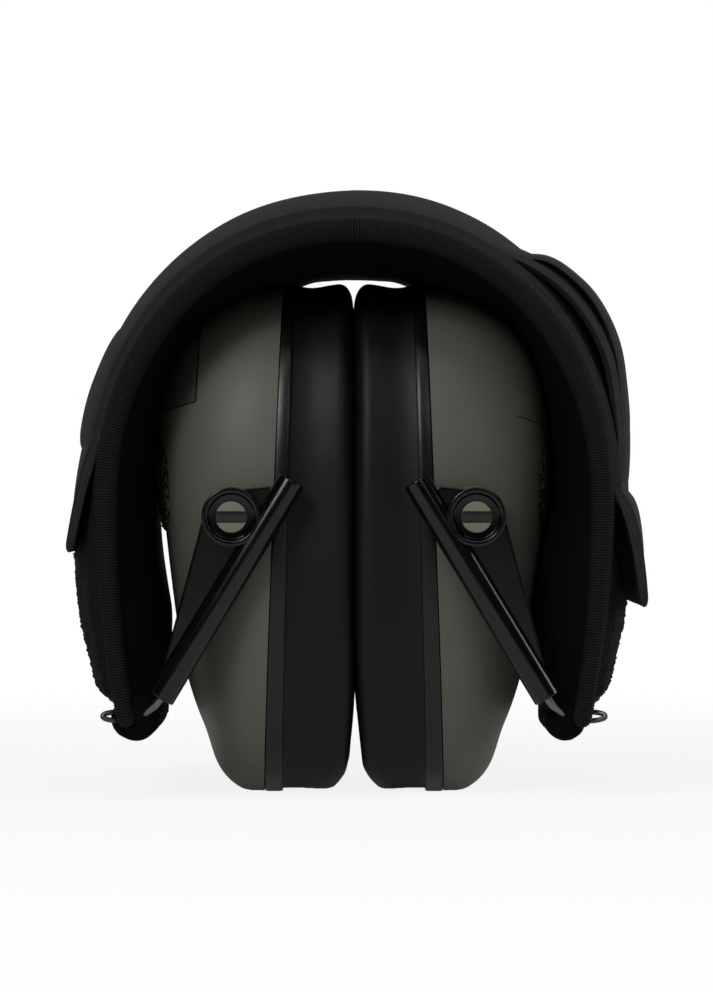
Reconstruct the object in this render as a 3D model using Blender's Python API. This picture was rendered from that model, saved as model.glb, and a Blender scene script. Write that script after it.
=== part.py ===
"""Folding electronic earmuff, folded: two ear cups on wire yokes inside a padded spring headband.

X runs across the cups, -Y is the photographed front, +Z is up and the cups stand on Z = 0.
Sizes are millimetres. Shapes are drawn for one side with X counted outwards, then signed.
"""

from math import cos, pi, radians, sin, sqrt, tan

import bmesh
import bpy
from mathutils import Vector

MM = 0.001
CLEAR = 0.3  # gap left between touching pieces

# Cup: the pivot is where the yoke arms hold it
PIVOT_X = 24.5
CUP_LEAN = radians(2.15)
CUP_HALF_DEPTH = 36.0
CUP_HALF_HEIGHT = 53.4
CUP_CENTRE_BELOW_PIVOT = 4.6
CUP_ROUNDNESS = 2.5
CUP_FOOT_FLAT = 1.2  # how much of the oval the flat foot takes off
PIVOT_Z = CUP_HALF_HEIGHT + CUP_CENTRE_BELOW_PIVOT - CUP_FOOT_FLAT
SHELL_WALL = 2.2
SHELL_BULGE = 22.4
SHELL_BULGE_RISE = 0.15
SHELL_SHOULDER_START = 15.0
SHELL_SHOULDER_FALL = 0.0098
SEAM_INWARD = 8.1  # shell edge, inward of the pivot
PLATE_THICK = 3.0
PLATE_LIP = 0.2
PLATE_BEVEL = 0.7
PLATE_HOLE_MARGIN = 1.0
EAR_HALF_DEPTH = 19.0
EAR_HALF_HEIGHT = 29.0
CUSHION_INSET = 1.2
CUSHION_GAP = 1.2  # cushion face to the centre plane when folded
CUSHION_CROWN = 2.0
CUSHION_FOOT = 0.6

# Pivot boss, pin and arm
BOSS_RADIUS = 6.2
BOSS_PROUD = 0.4
BOSS_FACE_Y = CUP_HALF_DEPTH + BOSS_PROUD
PIN_RADIUS = 1.75
PIN_DEPTH = 6.0
PIN_END_WALL = 1.6
PIN_HEAD_RADIUS = 3.1
PIN_HEAD_THICK = 0.9
PIN_SLOT_HEIGHT = 1.9
PIN_SLOT_DEPTH = 0.6
ARM_BOSS_RADIUS = 6.0
ARM_BOSS_THICK = 5.5
ARM_RECESS_RADIUS = 4.8
ARM_RECESS_DEPTH = 1.5
TUBE_RADIUS = 2.8
TUBE_BEFORE_BOSS = 3.2
TUBE_Y = BOSS_FACE_Y + TUBE_BEFORE_BOSS
TUBE_TOP = (-12.1, 7.3)  # tube axis from the pivot: outward, up
TUBE_BOTTOM = (14.25, -36.3)
EDGE_BEVEL = 0.35
WEB_THICK = 2.2
WEB_BEHIND_FACE = 0.8
WEB_OUTLINE = ((6.0, -1.0), (13.6, -29.5), (13.2, -34.0), (-9.5, 3.6), (-7.6, 6.2), (-2.0, 5.6))

# Yoke wire: a cross bar in the hem with a leg up each arm's tube
WIRE_RADIUS = 1.1
WIRE_FIT = 0.25
LEG_JOG = 2.3  # from the tube's axis back to the cross bar's corner
LEG_Y = TUBE_Y - LEG_JOG
HEM_Z = 16.8
HEM_RADIUS = 4.6
HEM_END_GAP = 1.7
HEM_HALF_WIDTH = LEG_Y - HEM_END_GAP
LEG_DEPTH = 40.0
LEG_BEND = 1.8
LEG_NECK = 1.2
LEG_STOP_ROOM = 2.0

# Headband arch: a superellipse with sides that draw in below its centre
ARCH_ROOM = 11.0  # from the shells to the arch line, at the sides
SHOULDER_ROOM = 6.2187  # from the cups' top up to the arch line, over their seams
ARCH_HALF_WIDTH = PIVOT_X - SEAM_INWARD + SHELL_BULGE + ARCH_ROOM
ARCH_CENTRE_Z = 60.0
ARCH_ROUNDNESS = 2.1
SEAM_SHARE = (PIVOT_X - SEAM_INWARD) / ARCH_HALF_WIDTH
SEAM_RISE = PIVOT_Z - CUP_CENTRE_BELOW_PIVOT + CUP_HALF_HEIGHT + SHOULDER_ROOM - ARCH_CENTRE_Z
ARCH_RISE = SEAM_RISE / (1 - SEAM_SHARE**ARCH_ROUNDNESS) ** (1 / ARCH_ROUNDNESS)
HEM_INSIDE_ARCH = 7.2
HEM_X = ARCH_HALF_WIDTH - HEM_INSIDE_ARCH
ARCH_DRAW_IN = 4.8
ARCH_FOOT_Z = HEM_Z - HEM_RADIUS
BAND_BEYOND_TUBE = 0.4
BAND_HALF_WIDTH = TUBE_Y + BAND_BEYOND_TUBE
BINDING_THICK = 1.3
BINDING_HALF_HEIGHT = 2.3
PAD_EDGE = 0.7
POCKET_HALF = 1.5  # half the space between pad and cover, where the springs lie
PAD_CROWNS = ((0.0, 5.2), (46.0, 1.5), (74.0, 1.5), (106.0, 5.2), (140.0, 4.2))
COVER_CROWN = 5.6
CROWN_HALF_LENGTH = 12.9  # the crown piece, along the arch
PAD_ABOVE_HEM = 0.8
PAD_FOOT_Z = HEM_Z + HEM_RADIUS + PAD_ABOVE_HEM
COVER_FOOT_Z = {-1: 50.0, 1: 39.5}
TAB_FLARE = {-1: 3.4, 1: 4.6}
TAB_LENGTH = 16.0
PANEL_ABOVE_BAR = 2.7
PANEL_FOOT_Z = HEM_Z + PANEL_ABOVE_BAR
PANEL_CROWN = 4.4
SPRING_FROM_EDGE = 16.0
SPRING_Y = BAND_HALF_WIDTH - SPRING_FROM_EDGE
SPRING_ABOVE_PAD_FOOT = 2.8
SPRING_FOOT_Z = PAD_FOOT_Z + SPRING_ABOVE_PAD_FOOT
SPRING_BEND = 4.0

# Electronics
FOAM_THICK = 3.5
FOAM_SIDE_GAP = 5.4
FOAM_END_GAP = 2.6
SPEAKER_RADIUS = 13.0
SPEAKER_THICK = 4.0
SPEAKER_DROP = 16.0
MIC_HALF_HEIGHT = 9.2
MIC_HALF_WIDTH = 11.0
MIC_Y = -7.0
MIC_PROUD = 1.2
MIC_DEPTH = 1.4
MIC_RISE = 5.5
CAPSULE_RADIUS = 3.0
CAPSULE_LENGTH = 3.5
DOOR_INWARD = -8.4  # the door is the shell's corner beyond these two planes
DOOR_UP = 23.0
CELL_RADIUS = 5.2
CELL_LENGTH = 44.0
CELL_NUB_LENGTH = 1.2
CELL_NUB_RADIUS = 1.9
TRAY_WALL = 1.2
TRAY_BELOW_DOOR = 14.3
TRAY_LOW = DOOR_UP - TRAY_BELOW_DOOR - 2 * SHELL_WALL
TRAY_BEHIND_FOAM = 0.4
CELL_LOW = TRAY_LOW + TRAY_WALL + CLEAR + CELL_RADIUS
CELL_UPS = (CELL_LOW, CELL_LOW + 2 * (CELL_RADIUS + CLEAR))
FOAM_FACE = SEAM_INWARD - CLEAR
FOAM_BACK = FOAM_FACE - FOAM_THICK
CELL_INWARD = FOAM_BACK - TRAY_BEHIND_FOAM - TRAY_WALL - CLEAR - CELL_RADIUS
TRAY_DEPTH = 7.0
CONTACT_THICK = 0.5
KNOB_RADIUS = 7.0
KNOB_THICK = 3.6
KNOB_Y = 18.0
KNOB_UP = -16.0
KNOB_SEAT_INWARD = -9.6
POT_RADIUS = 5.5
POT_THICK = 3.0
POT_BEHIND_SEAT = 4.2
SHAFT_RADIUS = 2.0
BOARD_SIZE = (26.0, 34.0)
BOARD_BELOW_KNOB = 13.0
BOARD_THICK = 1.6
BEYOND = 10.0  # how far a cutter runs past what it cuts

SEGMENTS = 40
ARCH_STEP = 5.0
SPRING_STEP = 8.0
SIDES = {"left": -1, "right": 1}
ENDS = {"front": -1, "rear": 1}

FINISHES = {
    "olive": ((0.16, 0.16, 0.12), 0.45, 0.0),
    "black_plastic": ((0.02, 0.02, 0.02), 0.4, 0.0),
    "black_cloth": ((0.015, 0.015, 0.015), 0.9, 0.0),
    "black_vinyl": ((0.02, 0.02, 0.022), 0.5, 0.0),
    "black_foam": ((0.01, 0.01, 0.01), 1.0, 0.0),
    "grey_foam": ((0.2, 0.2, 0.2), 1.0, 0.0),
    "steel": ((0.6, 0.6, 0.6), 0.25, 1.0),
    "board_green": ((0.02, 0.12, 0.05), 0.5, 0.0),
    "cell_grey": ((0.3, 0.3, 0.32), 0.35, 0.5),
}


def clear_scene():
    for obj in list(bpy.data.objects):
        bpy.data.objects.remove(obj, do_unlink=True)


def finish(name):
    """The named Principled material, made once."""
    found = bpy.data.materials.get(name)
    if found:
        return found
    colour, roughness, metallic = FINISHES[name]
    made = bpy.data.materials.new(name)
    made.use_nodes = True
    shader = made.node_tree.nodes["Principled BSDF"]
    shader.inputs["Base Color"].default_value = (*colour, 1.0)
    shader.inputs["Roughness"].default_value = roughness
    shader.inputs["Metallic"].default_value = metallic
    return made


def axis_empty(name, where, parent=None):
    """An empty at a joint, which carries the pieces that move with it."""
    empty = bpy.data.objects.new(name, None)
    bpy.context.scene.collection.objects.link(empty)
    empty["world_mm"] = list(where)
    base = Vector(parent["world_mm"]) if parent else Vector()
    empty.parent = parent
    empty.location = (Vector(where) - base) * MM
    return empty


def new_object(name, work, finish_name, carrier):
    """Turns a bmesh in world millimetres into an object whose origin is its carrier's joint."""
    origin = Vector(carrier["world_mm"])
    bmesh.ops.recalc_face_normals(work, faces=work.faces)
    for vert in work.verts:
        vert.co = (vert.co - origin) * MM
    mesh = bpy.data.meshes.new(name)
    work.to_mesh(mesh)
    work.free()
    mesh.shade_smooth()
    mesh.set_sharp_from_angle(angle=radians(35))
    mesh.materials.append(finish(finish_name))
    obj = bpy.data.objects.new(name, mesh)
    bpy.context.scene.collection.objects.link(obj)
    obj.parent = carrier
    return obj


def combine(obj, tools, operation):
    """Applies one Boolean after another and removes the tool objects."""
    for tool in tools:
        bpy.context.view_layer.update()
        modifier = obj.modifiers.new("combine", "BOOLEAN")
        modifier.operation = operation
        modifier.solver = "EXACT"
        modifier.object = tool
        graph = bpy.context.evaluated_depsgraph_get()
        result = bpy.data.meshes.new_from_object(obj.evaluated_get(graph))
        obj.modifiers.clear()
        obj.data = result
        bpy.data.objects.remove(tool, do_unlink=True)
    obj.data.shade_smooth()
    obj.data.set_sharp_from_angle(angle=radians(35))


def loft(rings, closed=False):
    """Quads between equal rings of points, with flat ends unless the rings close on themselves."""
    work = bmesh.new()
    rows = [[work.verts.new(point) for point in ring] for ring in rings]
    count = len(rows[0])
    pairs = list(zip(rows, rows[1:]))
    if closed:
        pairs.append((rows[-1], rows[0]))
    for first, second in pairs:
        for i in range(count):
            j = (i + 1) % count
            work.faces.new((first[i], first[j], second[j], second[i]))
    if not closed:
        work.faces.new(rows[0])
        work.faces.new(rows[-1])
    return work


def dome_cap(rings, pole):
    """A loft of rings closed by a flat face at the start and by a point at the end."""
    work = bmesh.new()
    rows = [[work.verts.new(point) for point in ring] for ring in rings]
    tip = work.verts.new(pole)
    count = len(rows[0])
    for first, second in zip(rows, rows[1:]):
        for i in range(count):
            j = (i + 1) % count
            work.faces.new((first[i], first[j], second[j], second[i]))
    for i in range(count):
        work.faces.new((rows[-1][i], rows[-1][(i + 1) % count], tip))
    work.faces.new(rows[0])
    return work


def sweep(points, radius, sides=10):
    """A round wire along points, kept from twisting, with flat ends."""
    points = [Vector(p) for p in points]
    across = None
    rings = []
    for i, point in enumerate(points):
        before = points[max(i - 1, 0)]
        after = points[min(i + 1, len(points) - 1)]
        along = (after - before).normalized()
        if across is None:
            across = along.orthogonal().normalized()
        across = (across - along * across.dot(along)).normalized()
        other = along.cross(across)
        ring = []
        for k in range(sides):
            turn = 2 * pi * k / sides
            ring.append(point + (across * cos(turn) + other * sin(turn)) * radius)
        rings.append(ring)
    return loft(rings)


def rounded_corner(before, corner, after, radius, steps=5):
    """Points of an arc-like bend that replaces a corner."""
    start = corner + (before - corner).normalized() * radius
    end = corner + (after - corner).normalized() * radius
    points = []
    for i in range(steps + 1):
        t = i / steps
        points.append(start * (1 - t) ** 2 + corner * 2 * t * (1 - t) + end * t * t)
    return points


def turned(centre, along, profile, sides=24):
    """A solid turned round an axis: profile rows are (distance along the axis, radius)."""
    along = Vector(along).normalized()
    across = along.orthogonal().normalized()
    other = along.cross(across)
    rings = []
    for distance, radius in profile:
        ring = []
        for k in range(sides):
            turn = 2 * pi * k / sides
            offset = across * cos(turn) + other * sin(turn)
            ring.append(Vector(centre) + along * distance + offset * radius)
        rings.append(ring)
    return loft(rings)


def smooth_table(rows, at):
    """Reads a short table of (position, value) rows with an eased blend between rows."""
    if at <= rows[0][0]:
        return rows[0][1]
    for (low, first), (high, second) in zip(rows, rows[1:]):
        if at <= high:
            t = (at - low) / (high - low)
            return first + (second - first) * t * t * (3 - 2 * t)
    return rows[-1][1]


# The headband arch


def arch_polyline():
    """Rows of (length from the crown, outward, up) down one side of the arch."""
    points = []
    for i in range(121):
        turn = pi / 2 * i / 120
        outward = ARCH_HALF_WIDTH * sin(turn) ** (2 / ARCH_ROUNDNESS)
        up = ARCH_CENTRE_Z + ARCH_RISE * max(cos(turn), 0.0) ** (2 / ARCH_ROUNDNESS)
        points.append((outward, up))
    fall = ARCH_CENTRE_Z - ARCH_FOOT_Z
    for i in range(1, 61):
        t = i / 60
        points.append((ARCH_HALF_WIDTH - ARCH_DRAW_IN * t * t, ARCH_CENTRE_Z - fall * t))
    length = 0.0
    rows = [(0.0, *points[0])]
    for (x0, z0), (x1, z1) in zip(points, points[1:]):
        length += sqrt((x1 - x0) ** 2 + (z1 - z0) ** 2)
        rows.append((length, x1, z1))
    return rows


ARCH = arch_polyline()
ARCH_LENGTH = ARCH[-1][0]


def arch_at(length):
    """(outward, up) on the arch at a length from the crown, negative on the other side."""
    sign = -1 if length < 0 else 1
    length = min(abs(length), ARCH_LENGTH)
    for (s0, x0, z0), (s1, x1, z1) in zip(ARCH, ARCH[1:]):
        if length <= s1:
            t = (length - s0) / (s1 - s0)
            return sign * (x0 + (x1 - x0) * t), z0 + (z1 - z0) * t
    return sign * ARCH[-1][1], ARCH[-1][2]


def arch_length_at(up):
    """The length from the crown at which the arch's side comes down to a height."""
    for (s0, _, z0), (s1, _, z1) in zip(ARCH, ARCH[1:]):
        if z1 <= up:
            return s0 + (s1 - s0) * (z0 - up) / (z0 - z1)
    return ARCH_LENGTH


def arch_point(side, length, offset, y):
    """A world point off the arch: offset is outwards from the arch line."""
    reach = 0.5
    x0, z0 = arch_at(length - reach)
    x1, z1 = arch_at(min(length + reach, ARCH_LENGTH))
    across = Vector((x1 - x0, z1 - z0)).normalized()
    x, z = arch_at(length)
    return Vector((side * (x - across.y * offset), y, z + across.x * offset))


def arch_stations(start, end, step=ARCH_STEP):
    count = max(2, round(abs(end - start) / step))
    return [start + (end - start) * i / count for i in range(count + 1)]


def arch_strip(side, start, end, section):
    """A strip along the arch: section(length) gives its (offset, y) outline."""
    rings = []
    for length in arch_stations(start, end):
        rings.append([arch_point(side, length, r, y) for r, y in section(length)])
    return loft(rings)


def crowned_section(inner, edge, crown, half_width, points=7):
    """An outline flat at inner and crowned on the other face; crown and edge carry its sign."""
    outline = []
    for i in range(points):
        y = half_width * (2 * i / (points - 1) - 1)
        swell = (1 - (y / half_width) ** 2) ** 0.8
        outline.append((inner + edge + crown * swell, y))
    return outline + [(inner, half_width), (inner, -half_width)]


SKIN_HALF_WIDTH = BAND_HALF_WIDTH - BINDING_THICK - CLEAR


def pad_section(length):
    crown = smooth_table(PAD_CROWNS, abs(length))
    return crowned_section(-POCKET_HALF, -PAD_EDGE, -crown, SKIN_HALF_WIDTH)


def cover_section(side, foot):
    """The cover's outline along the arch, flaring into its tab at the foot."""

    def section(length):
        t = max(0.0, 1 - (foot - length) / TAB_LENGTH)
        lift = TAB_FLARE[side] * t * t
        outline = crowned_section(POCKET_HALF, PAD_EDGE, COVER_CROWN, SKIN_HALF_WIDTH)
        return [(r + lift, y) for r, y in outline]

    return section


def panel_section(length):
    return crowned_section(POCKET_HALF, PAD_EDGE, PANEL_CROWN, SKIN_HALF_WIDTH)


def crown_section(length):
    return crowned_section(POCKET_HALF, PAD_EDGE, COVER_CROWN, SKIN_HALF_WIDTH)


def binding_section(end):
    inner = end * (BAND_HALF_WIDTH - BINDING_THICK)
    outer = end * BAND_HALF_WIDTH
    h = BINDING_HALF_HEIGHT
    return lambda length: [(-h, inner), (-h, outer), (h, outer), (h, inner)]


def spring_line(side, start, end, y):
    return [arch_point(side, length, 0.0, y) for length in arch_stations(start, end, SPRING_STEP)]


def build_crown(carrier):
    half = CROWN_HALF_LENGTH - CLEAR / 2
    new_object("crown_pad", arch_strip(1, -half, half, pad_section), "black_cloth", carrier)
    new_object("crown_cover", arch_strip(1, -half, half, crown_section), "black_cloth", carrier)
    for name, end in ENDS.items():
        strip = arch_strip(1, -half, half, binding_section(end))
        new_object(f"crown_binding_{name}", strip, "black_cloth", carrier)
        wire = sweep(spring_line(1, -half, half, end * SPRING_Y), WIRE_RADIUS, 8)
        new_object(f"crown_spring_{name}", wire, "steel", carrier)


def build_band_side(label, side, carrier):
    top = CROWN_HALF_LENGTH + CLEAR / 2
    pad_foot = arch_length_at(PAD_FOOT_Z)
    cover_foot = arch_length_at(COVER_FOOT_Z[side])
    panel_top = cover_foot + CLEAR
    panel_foot = arch_length_at(PANEL_FOOT_Z)
    pad = arch_strip(side, top, pad_foot, pad_section)
    new_object(f"{label}_pad", pad, "black_cloth", carrier)
    cover = arch_strip(side, top, cover_foot, cover_section(side, cover_foot))
    new_object(f"{label}_cover", cover, "black_cloth", carrier)
    panel = arch_strip(side, panel_top, panel_foot, panel_section)
    new_object(f"{label}_loop_panel", panel, "black_cloth", carrier)
    for name, end in ENDS.items():
        strip = arch_strip(side, top, ARCH_LENGTH, binding_section(end))
        new_object(f"{label}_binding_{name}", strip, "black_cloth", carrier)
    build_spring_frame(label, side, top, carrier)
    build_hem(label, side, carrier)


def build_spring_frame(label, side, top, carrier):
    """One wire: down the front of the band, across above the hem and up the rear."""
    foot = arch_length_at(SPRING_FOOT_Z)
    front = spring_line(side, top, foot, -SPRING_Y)
    rear = spring_line(side, top, foot, SPRING_Y)
    corner = rounded_corner(front[-2], front[-1], rear[-1], SPRING_BEND)
    back = rounded_corner(front[-1], rear[-1], rear[-2], SPRING_BEND)
    path = front[:-1] + corner + back + rear[-2::-1]
    new_object(f"{label}_spring_frame", sweep(path, WIRE_RADIUS, 8), "steel", carrier)


def build_hem(label, side, carrier):
    """The lining rolled round the yoke's cross bar."""
    start = (side * HEM_X, -HEM_HALF_WIDTH, HEM_Z)
    width = 2 * HEM_HALF_WIDTH
    roll = turned(start, (0, 1, 0), [(0, HEM_RADIUS), (width, HEM_RADIUS)])
    hem = new_object(f"{label}_hem", roll, "black_cloth", carrier)
    bore_radius = WIRE_RADIUS + CLEAR
    bore = turned(start, (0, 1, 0), [(-1, bore_radius), (width + 1, bore_radius)], 16)
    combine(hem, [new_object("bore", bore, "black_cloth", carrier)], "DIFFERENCE")


# The yoke: wire and arms


def tube_ends(side, end):
    """World points of the top and bottom of an arm's tube axis."""
    y = end * TUBE_Y
    top = Vector((side * (PIVOT_X + TUBE_TOP[0]), y, PIVOT_Z + TUBE_TOP[1]))
    bottom = Vector((side * (PIVOT_X + TUBE_BOTTOM[0]), y, PIVOT_Z + TUBE_BOTTOM[1]))
    return top, bottom


def build_yoke_wire(label, side, carrier):
    legs = []
    for end in (-1, 1):
        top, bottom = tube_ends(side, end)
        up = (top - bottom).normalized()
        corner = Vector((side * HEM_X, end * LEG_Y, HEM_Z))
        inside = corner - Vector((0, end * LEG_BEND, 0))
        neck = bottom - up * LEG_NECK
        leg = rounded_corner(inside, corner, neck, LEG_BEND)
        leg += [neck, bottom, bottom + up * LEG_DEPTH / 2, bottom + up * LEG_DEPTH]
        legs.append(leg)
    path = legs[0][::-1] + legs[1]
    new_object(f"{label}_yoke_wire", sweep(path, WIRE_RADIUS), "steel", carrier)


def build_arm(label, side, name, end, carrier):
    """An arm: a tube on the wire, a round boss on the cup's pin and a web between them."""
    full_name = f"{label}_arm_{name}"
    top, bottom = tube_ends(side, end)
    up = (top - bottom).normalized()
    length = (top - bottom).length
    barrel = [(0, TUBE_RADIUS - EDGE_BEVEL), (EDGE_BEVEL, TUBE_RADIUS)]
    barrel += [(length - EDGE_BEVEL, TUBE_RADIUS), (length, TUBE_RADIUS - EDGE_BEVEL)]
    arm = new_object(full_name, turned(bottom, up, barrel, 20), "black_plastic", carrier)
    outward = Vector((0, end, 0))
    seat = Vector((side * PIVOT_X, end * (BOSS_FACE_Y + CLEAR), PIVOT_Z))
    rim = [(0, ARM_BOSS_RADIUS), (ARM_BOSS_THICK - EDGE_BEVEL, ARM_BOSS_RADIUS)]
    rim += [(ARM_BOSS_THICK, ARM_BOSS_RADIUS - EDGE_BEVEL)]
    boss = new_object("boss", turned(seat, outward, rim, 32), "black_plastic", carrier)
    web = build_web(side, end, carrier)
    combine(arm, [web, boss], "UNION")
    recess_start = ARM_BOSS_THICK - ARM_RECESS_DEPTH
    recess = [(recess_start, ARM_RECESS_RADIUS), (ARM_BOSS_THICK + 1, ARM_RECESS_RADIUS)]
    hole = [(-1, PIN_RADIUS + CLEAR), (ARM_BOSS_THICK + 1, PIN_RADIUS + CLEAR)]
    bore_radius = WIRE_RADIUS + WIRE_FIT
    bore = [(-1, bore_radius), (LEG_DEPTH + LEG_STOP_ROOM, bore_radius)]
    cutters = [
        new_object("recess", turned(seat, outward, recess, 28), "black_plastic", carrier),
        new_object("hole", turned(seat, outward, hole, 16), "black_plastic", carrier),
        new_object("bore", turned(bottom, up, bore, 12), "black_plastic", carrier),
    ]
    combine(arm, cutters, "DIFFERENCE")


def build_web(side, end, carrier):
    near = end * (BOSS_FACE_Y + CLEAR + WEB_BEHIND_FACE)
    far = near + end * WEB_THICK
    rings = []
    for y in (near, far):
        ring = [Vector((side * (PIVOT_X + x), y, PIVOT_Z + z)) for x, z in WEB_OUTLINE]
        rings.append(ring)
    return new_object("web", loft(rings), "black_plastic", carrier)


# The cup


def cup_point(side, inward, y, up):
    """A world point from distances off the pivot in the leaning cup."""
    x = PIVOT_X - inward * cos(CUP_LEAN) - up * sin(CUP_LEAN)
    z = PIVOT_Z + up * cos(CUP_LEAN) - inward * sin(CUP_LEAN)
    return Vector((side * x, y, z))


def cup_direction(side, inward, up):
    return cup_point(side, inward, 0, up) - cup_point(side, 0, 0, 0)


def squircle(count, power):
    """Points round a unit circle whose sides are flattened by a power under 1."""
    points = []
    for i in range(count):
        turn = 2 * pi * (i + 0.5) / count
        c, s = cos(turn), sin(turn)
        points.append((abs(c) ** power * (1 if c > 0 else -1), abs(s) ** power * (1 if s > 0 else -1)))
    return points


def oval(half_depth, half_height):
    """(y, height above the cup's centre) round the cup's superellipse."""
    outline = squircle(SEGMENTS, 2 / CUP_ROUNDNESS)
    return [(half_depth * c, half_height * s) for c, s in outline]


def dome_bulge(up, share, wall):
    """How far the shell stands off its seam, at a height and a share of its outline."""
    shoulder = max(0.0, up - SHELL_SHOULDER_START)
    bulge = SHELL_BULGE + SHELL_BULGE_RISE * up - SHELL_SHOULDER_FALL * shoulder * shoulder
    return (bulge - wall) * sqrt(max(0.0, 1 - share**4))


def dome(side, wall, skirt):
    """The shell's outer form, or its hollow when wall is its thickness."""
    outline = oval(CUP_HALF_DEPTH - wall, CUP_HALF_HEIGHT - wall)
    shares = [sqrt(cos(radians(turn))) for turn in (0, 12, 24, 36, 48, 60, 72)] + [0.35, 0.18]

    def ring(share, lift):
        points = []
        for y, up in outline:
            inward = SEAM_INWARD - dome_bulge(up * share, share, wall) + lift
            point = cup_point(side, inward, y * share, up * share - CUP_CENTRE_BELOW_PIVOT)
            point.z = max(point.z, 0.0)
            points.append(point)
        return points

    rings = [ring(1.0, skirt)] if skirt else []
    rings += [ring(share, 0.0) for share in shares]
    inward = SEAM_INWARD - dome_bulge(0.0, 0.0, wall)
    return dome_cap(rings, cup_point(side, inward, 0, -CUP_CENTRE_BELOW_PIVOT))


def cup_block(side, inwards, ys, ups):
    """A box in the cup's own directions."""
    rings = []
    for inward in inwards:
        corners = ((ys[0], ups[0]), (ys[1], ups[0]), (ys[1], ups[1]), (ys[0], ups[1]))
        rings.append([cup_point(side, inward, y, up) for y, up in corners])
    return loft(rings)


def cup_disc(side, inwards, y, up, radius, sides=24):
    start = cup_point(side, inwards[0], y, up)
    axis = cup_direction(side, 1, 0)
    return turned(start, axis, [(0, radius), (inwards[1] - inwards[0], radius)], sides)


def mic_prism(side, inwards, spare, crown=0.0):
    """A rounded rectangle on the shell's outer face, crowned outwards if asked."""
    half_y = MIC_HALF_WIDTH + spare
    half_up = MIC_HALF_HEIGHT + spare
    outline = [(half_y * c, half_up * s) for c, s in squircle(28, 0.45)]
    stations = [(inwards[1], 1.0), (inwards[0] + crown, 1.0)]
    if crown:
        stations.append((inwards[0], 0.86))
    rings = []
    for inward, share in stations:
        ring = []
        for y, up in outline:
            ring.append(cup_point(side, inward, MIC_Y + y * share, MIC_RISE + up * share))
        rings.append(ring)
    return loft(rings)


def mic_face():
    """Inward position of the shell's face where the microphone sits."""
    return SEAM_INWARD - dome_bulge(MIC_RISE + CUP_CENTRE_BELOW_PIVOT, 0.25, 0)


def build_shell(label, side, carrier):
    shell = new_object(f"{label}_shell", dome(side, 0.0, 0.0), "olive", carrier)
    hollow = new_object("hollow", dome(side, SHELL_WALL, 2.0), "olive", carrier)
    combine(shell, [hollow], "DIFFERENCE")
    bosses = []
    holes = []
    for end in (-1, 1):
        face = Vector((side * PIVOT_X, end * BOSS_FACE_Y, PIVOT_Z))
        inward = Vector((0, -end, 0))
        boss = [(0, BOSS_RADIUS), (PIN_DEPTH + PIN_END_WALL, BOSS_RADIUS)]
        bosses.append(new_object("boss", turned(face, inward, boss, 28), "olive", carrier))
        hole = [(-1, PIN_RADIUS + CLEAR), (PIN_DEPTH + CLEAR, PIN_RADIUS + CLEAR)]
        holes.append(new_object("hole", turned(face, inward, hole, 16), "olive", carrier))
    combine(shell, bosses, "UNION")
    face = mic_face()
    cuts = [mic_prism(side, (face - BEYOND, face + MIC_DEPTH), CLEAR)]
    if side < 0:
        cuts.append(door_corner(side, 0.0))
    else:
        seat = (KNOB_SEAT_INWARD - BEYOND, KNOB_SEAT_INWARD)
        cuts.append(cup_disc(side, seat, KNOB_Y, KNOB_UP, KNOB_RADIUS + 2 * CLEAR, 32))
        bore = (KNOB_SEAT_INWARD - 2, KNOB_SEAT_INWARD + BEYOND)
        cuts.append(cup_disc(side, bore, KNOB_Y, KNOB_UP, SHAFT_RADIUS + CLEAR, 16))
    holes += [new_object("cut", cut, "olive", carrier) for cut in cuts]
    combine(shell, holes, "DIFFERENCE")


def door_corner(side, gap):
    """The space of the battery door: all of the shell beyond two planes along Y, less a gap."""
    inwards = (DOOR_INWARD - CUP_HALF_DEPTH, DOOR_INWARD - gap)
    ys = (-2 * CUP_HALF_DEPTH, 2 * CUP_HALF_DEPTH)
    return cup_block(side, inwards, ys, (DOOR_UP + gap, DOOR_UP + CUP_HALF_HEIGHT))


def ring_solid(side, rows):
    """A closed ring round the cup: rows are (inward, half depth, half height) round its section."""
    rings = []
    for i in range(SEGMENTS):
        ring = []
        for inward, half_depth, half_height in rows:
            y, up = oval(half_depth, half_height)[i]
            point = cup_point(side, inward, y, up - CUP_CENTRE_BELOW_PIVOT)
            point.z = max(point.z, 0.0)
            ring.append(point)
        rings.append(ring)
    return loft(rings, closed=True)


PLATE_OUTER = SEAM_INWARD + CLEAR
PLATE_INNER = PLATE_OUTER + PLATE_THICK


def build_base_plate(label, side, carrier):
    depth, height = CUP_HALF_DEPTH + PLATE_LIP, CUP_HALF_HEIGHT + PLATE_LIP
    hole_depth = EAR_HALF_DEPTH + PLATE_HOLE_MARGIN
    hole_height = EAR_HALF_HEIGHT + PLATE_HOLE_MARGIN
    rows = [
        (PLATE_OUTER, depth, height),
        (PLATE_INNER - PLATE_BEVEL, depth, height),
        (PLATE_INNER, depth - PLATE_BEVEL, height - PLATE_BEVEL),
        (PLATE_INNER, hole_depth, hole_height),
        (PLATE_OUTER, hole_depth, hole_height),
    ]
    new_object(f"{label}_base_plate", ring_solid(side, rows), "black_plastic", carrier)


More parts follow.
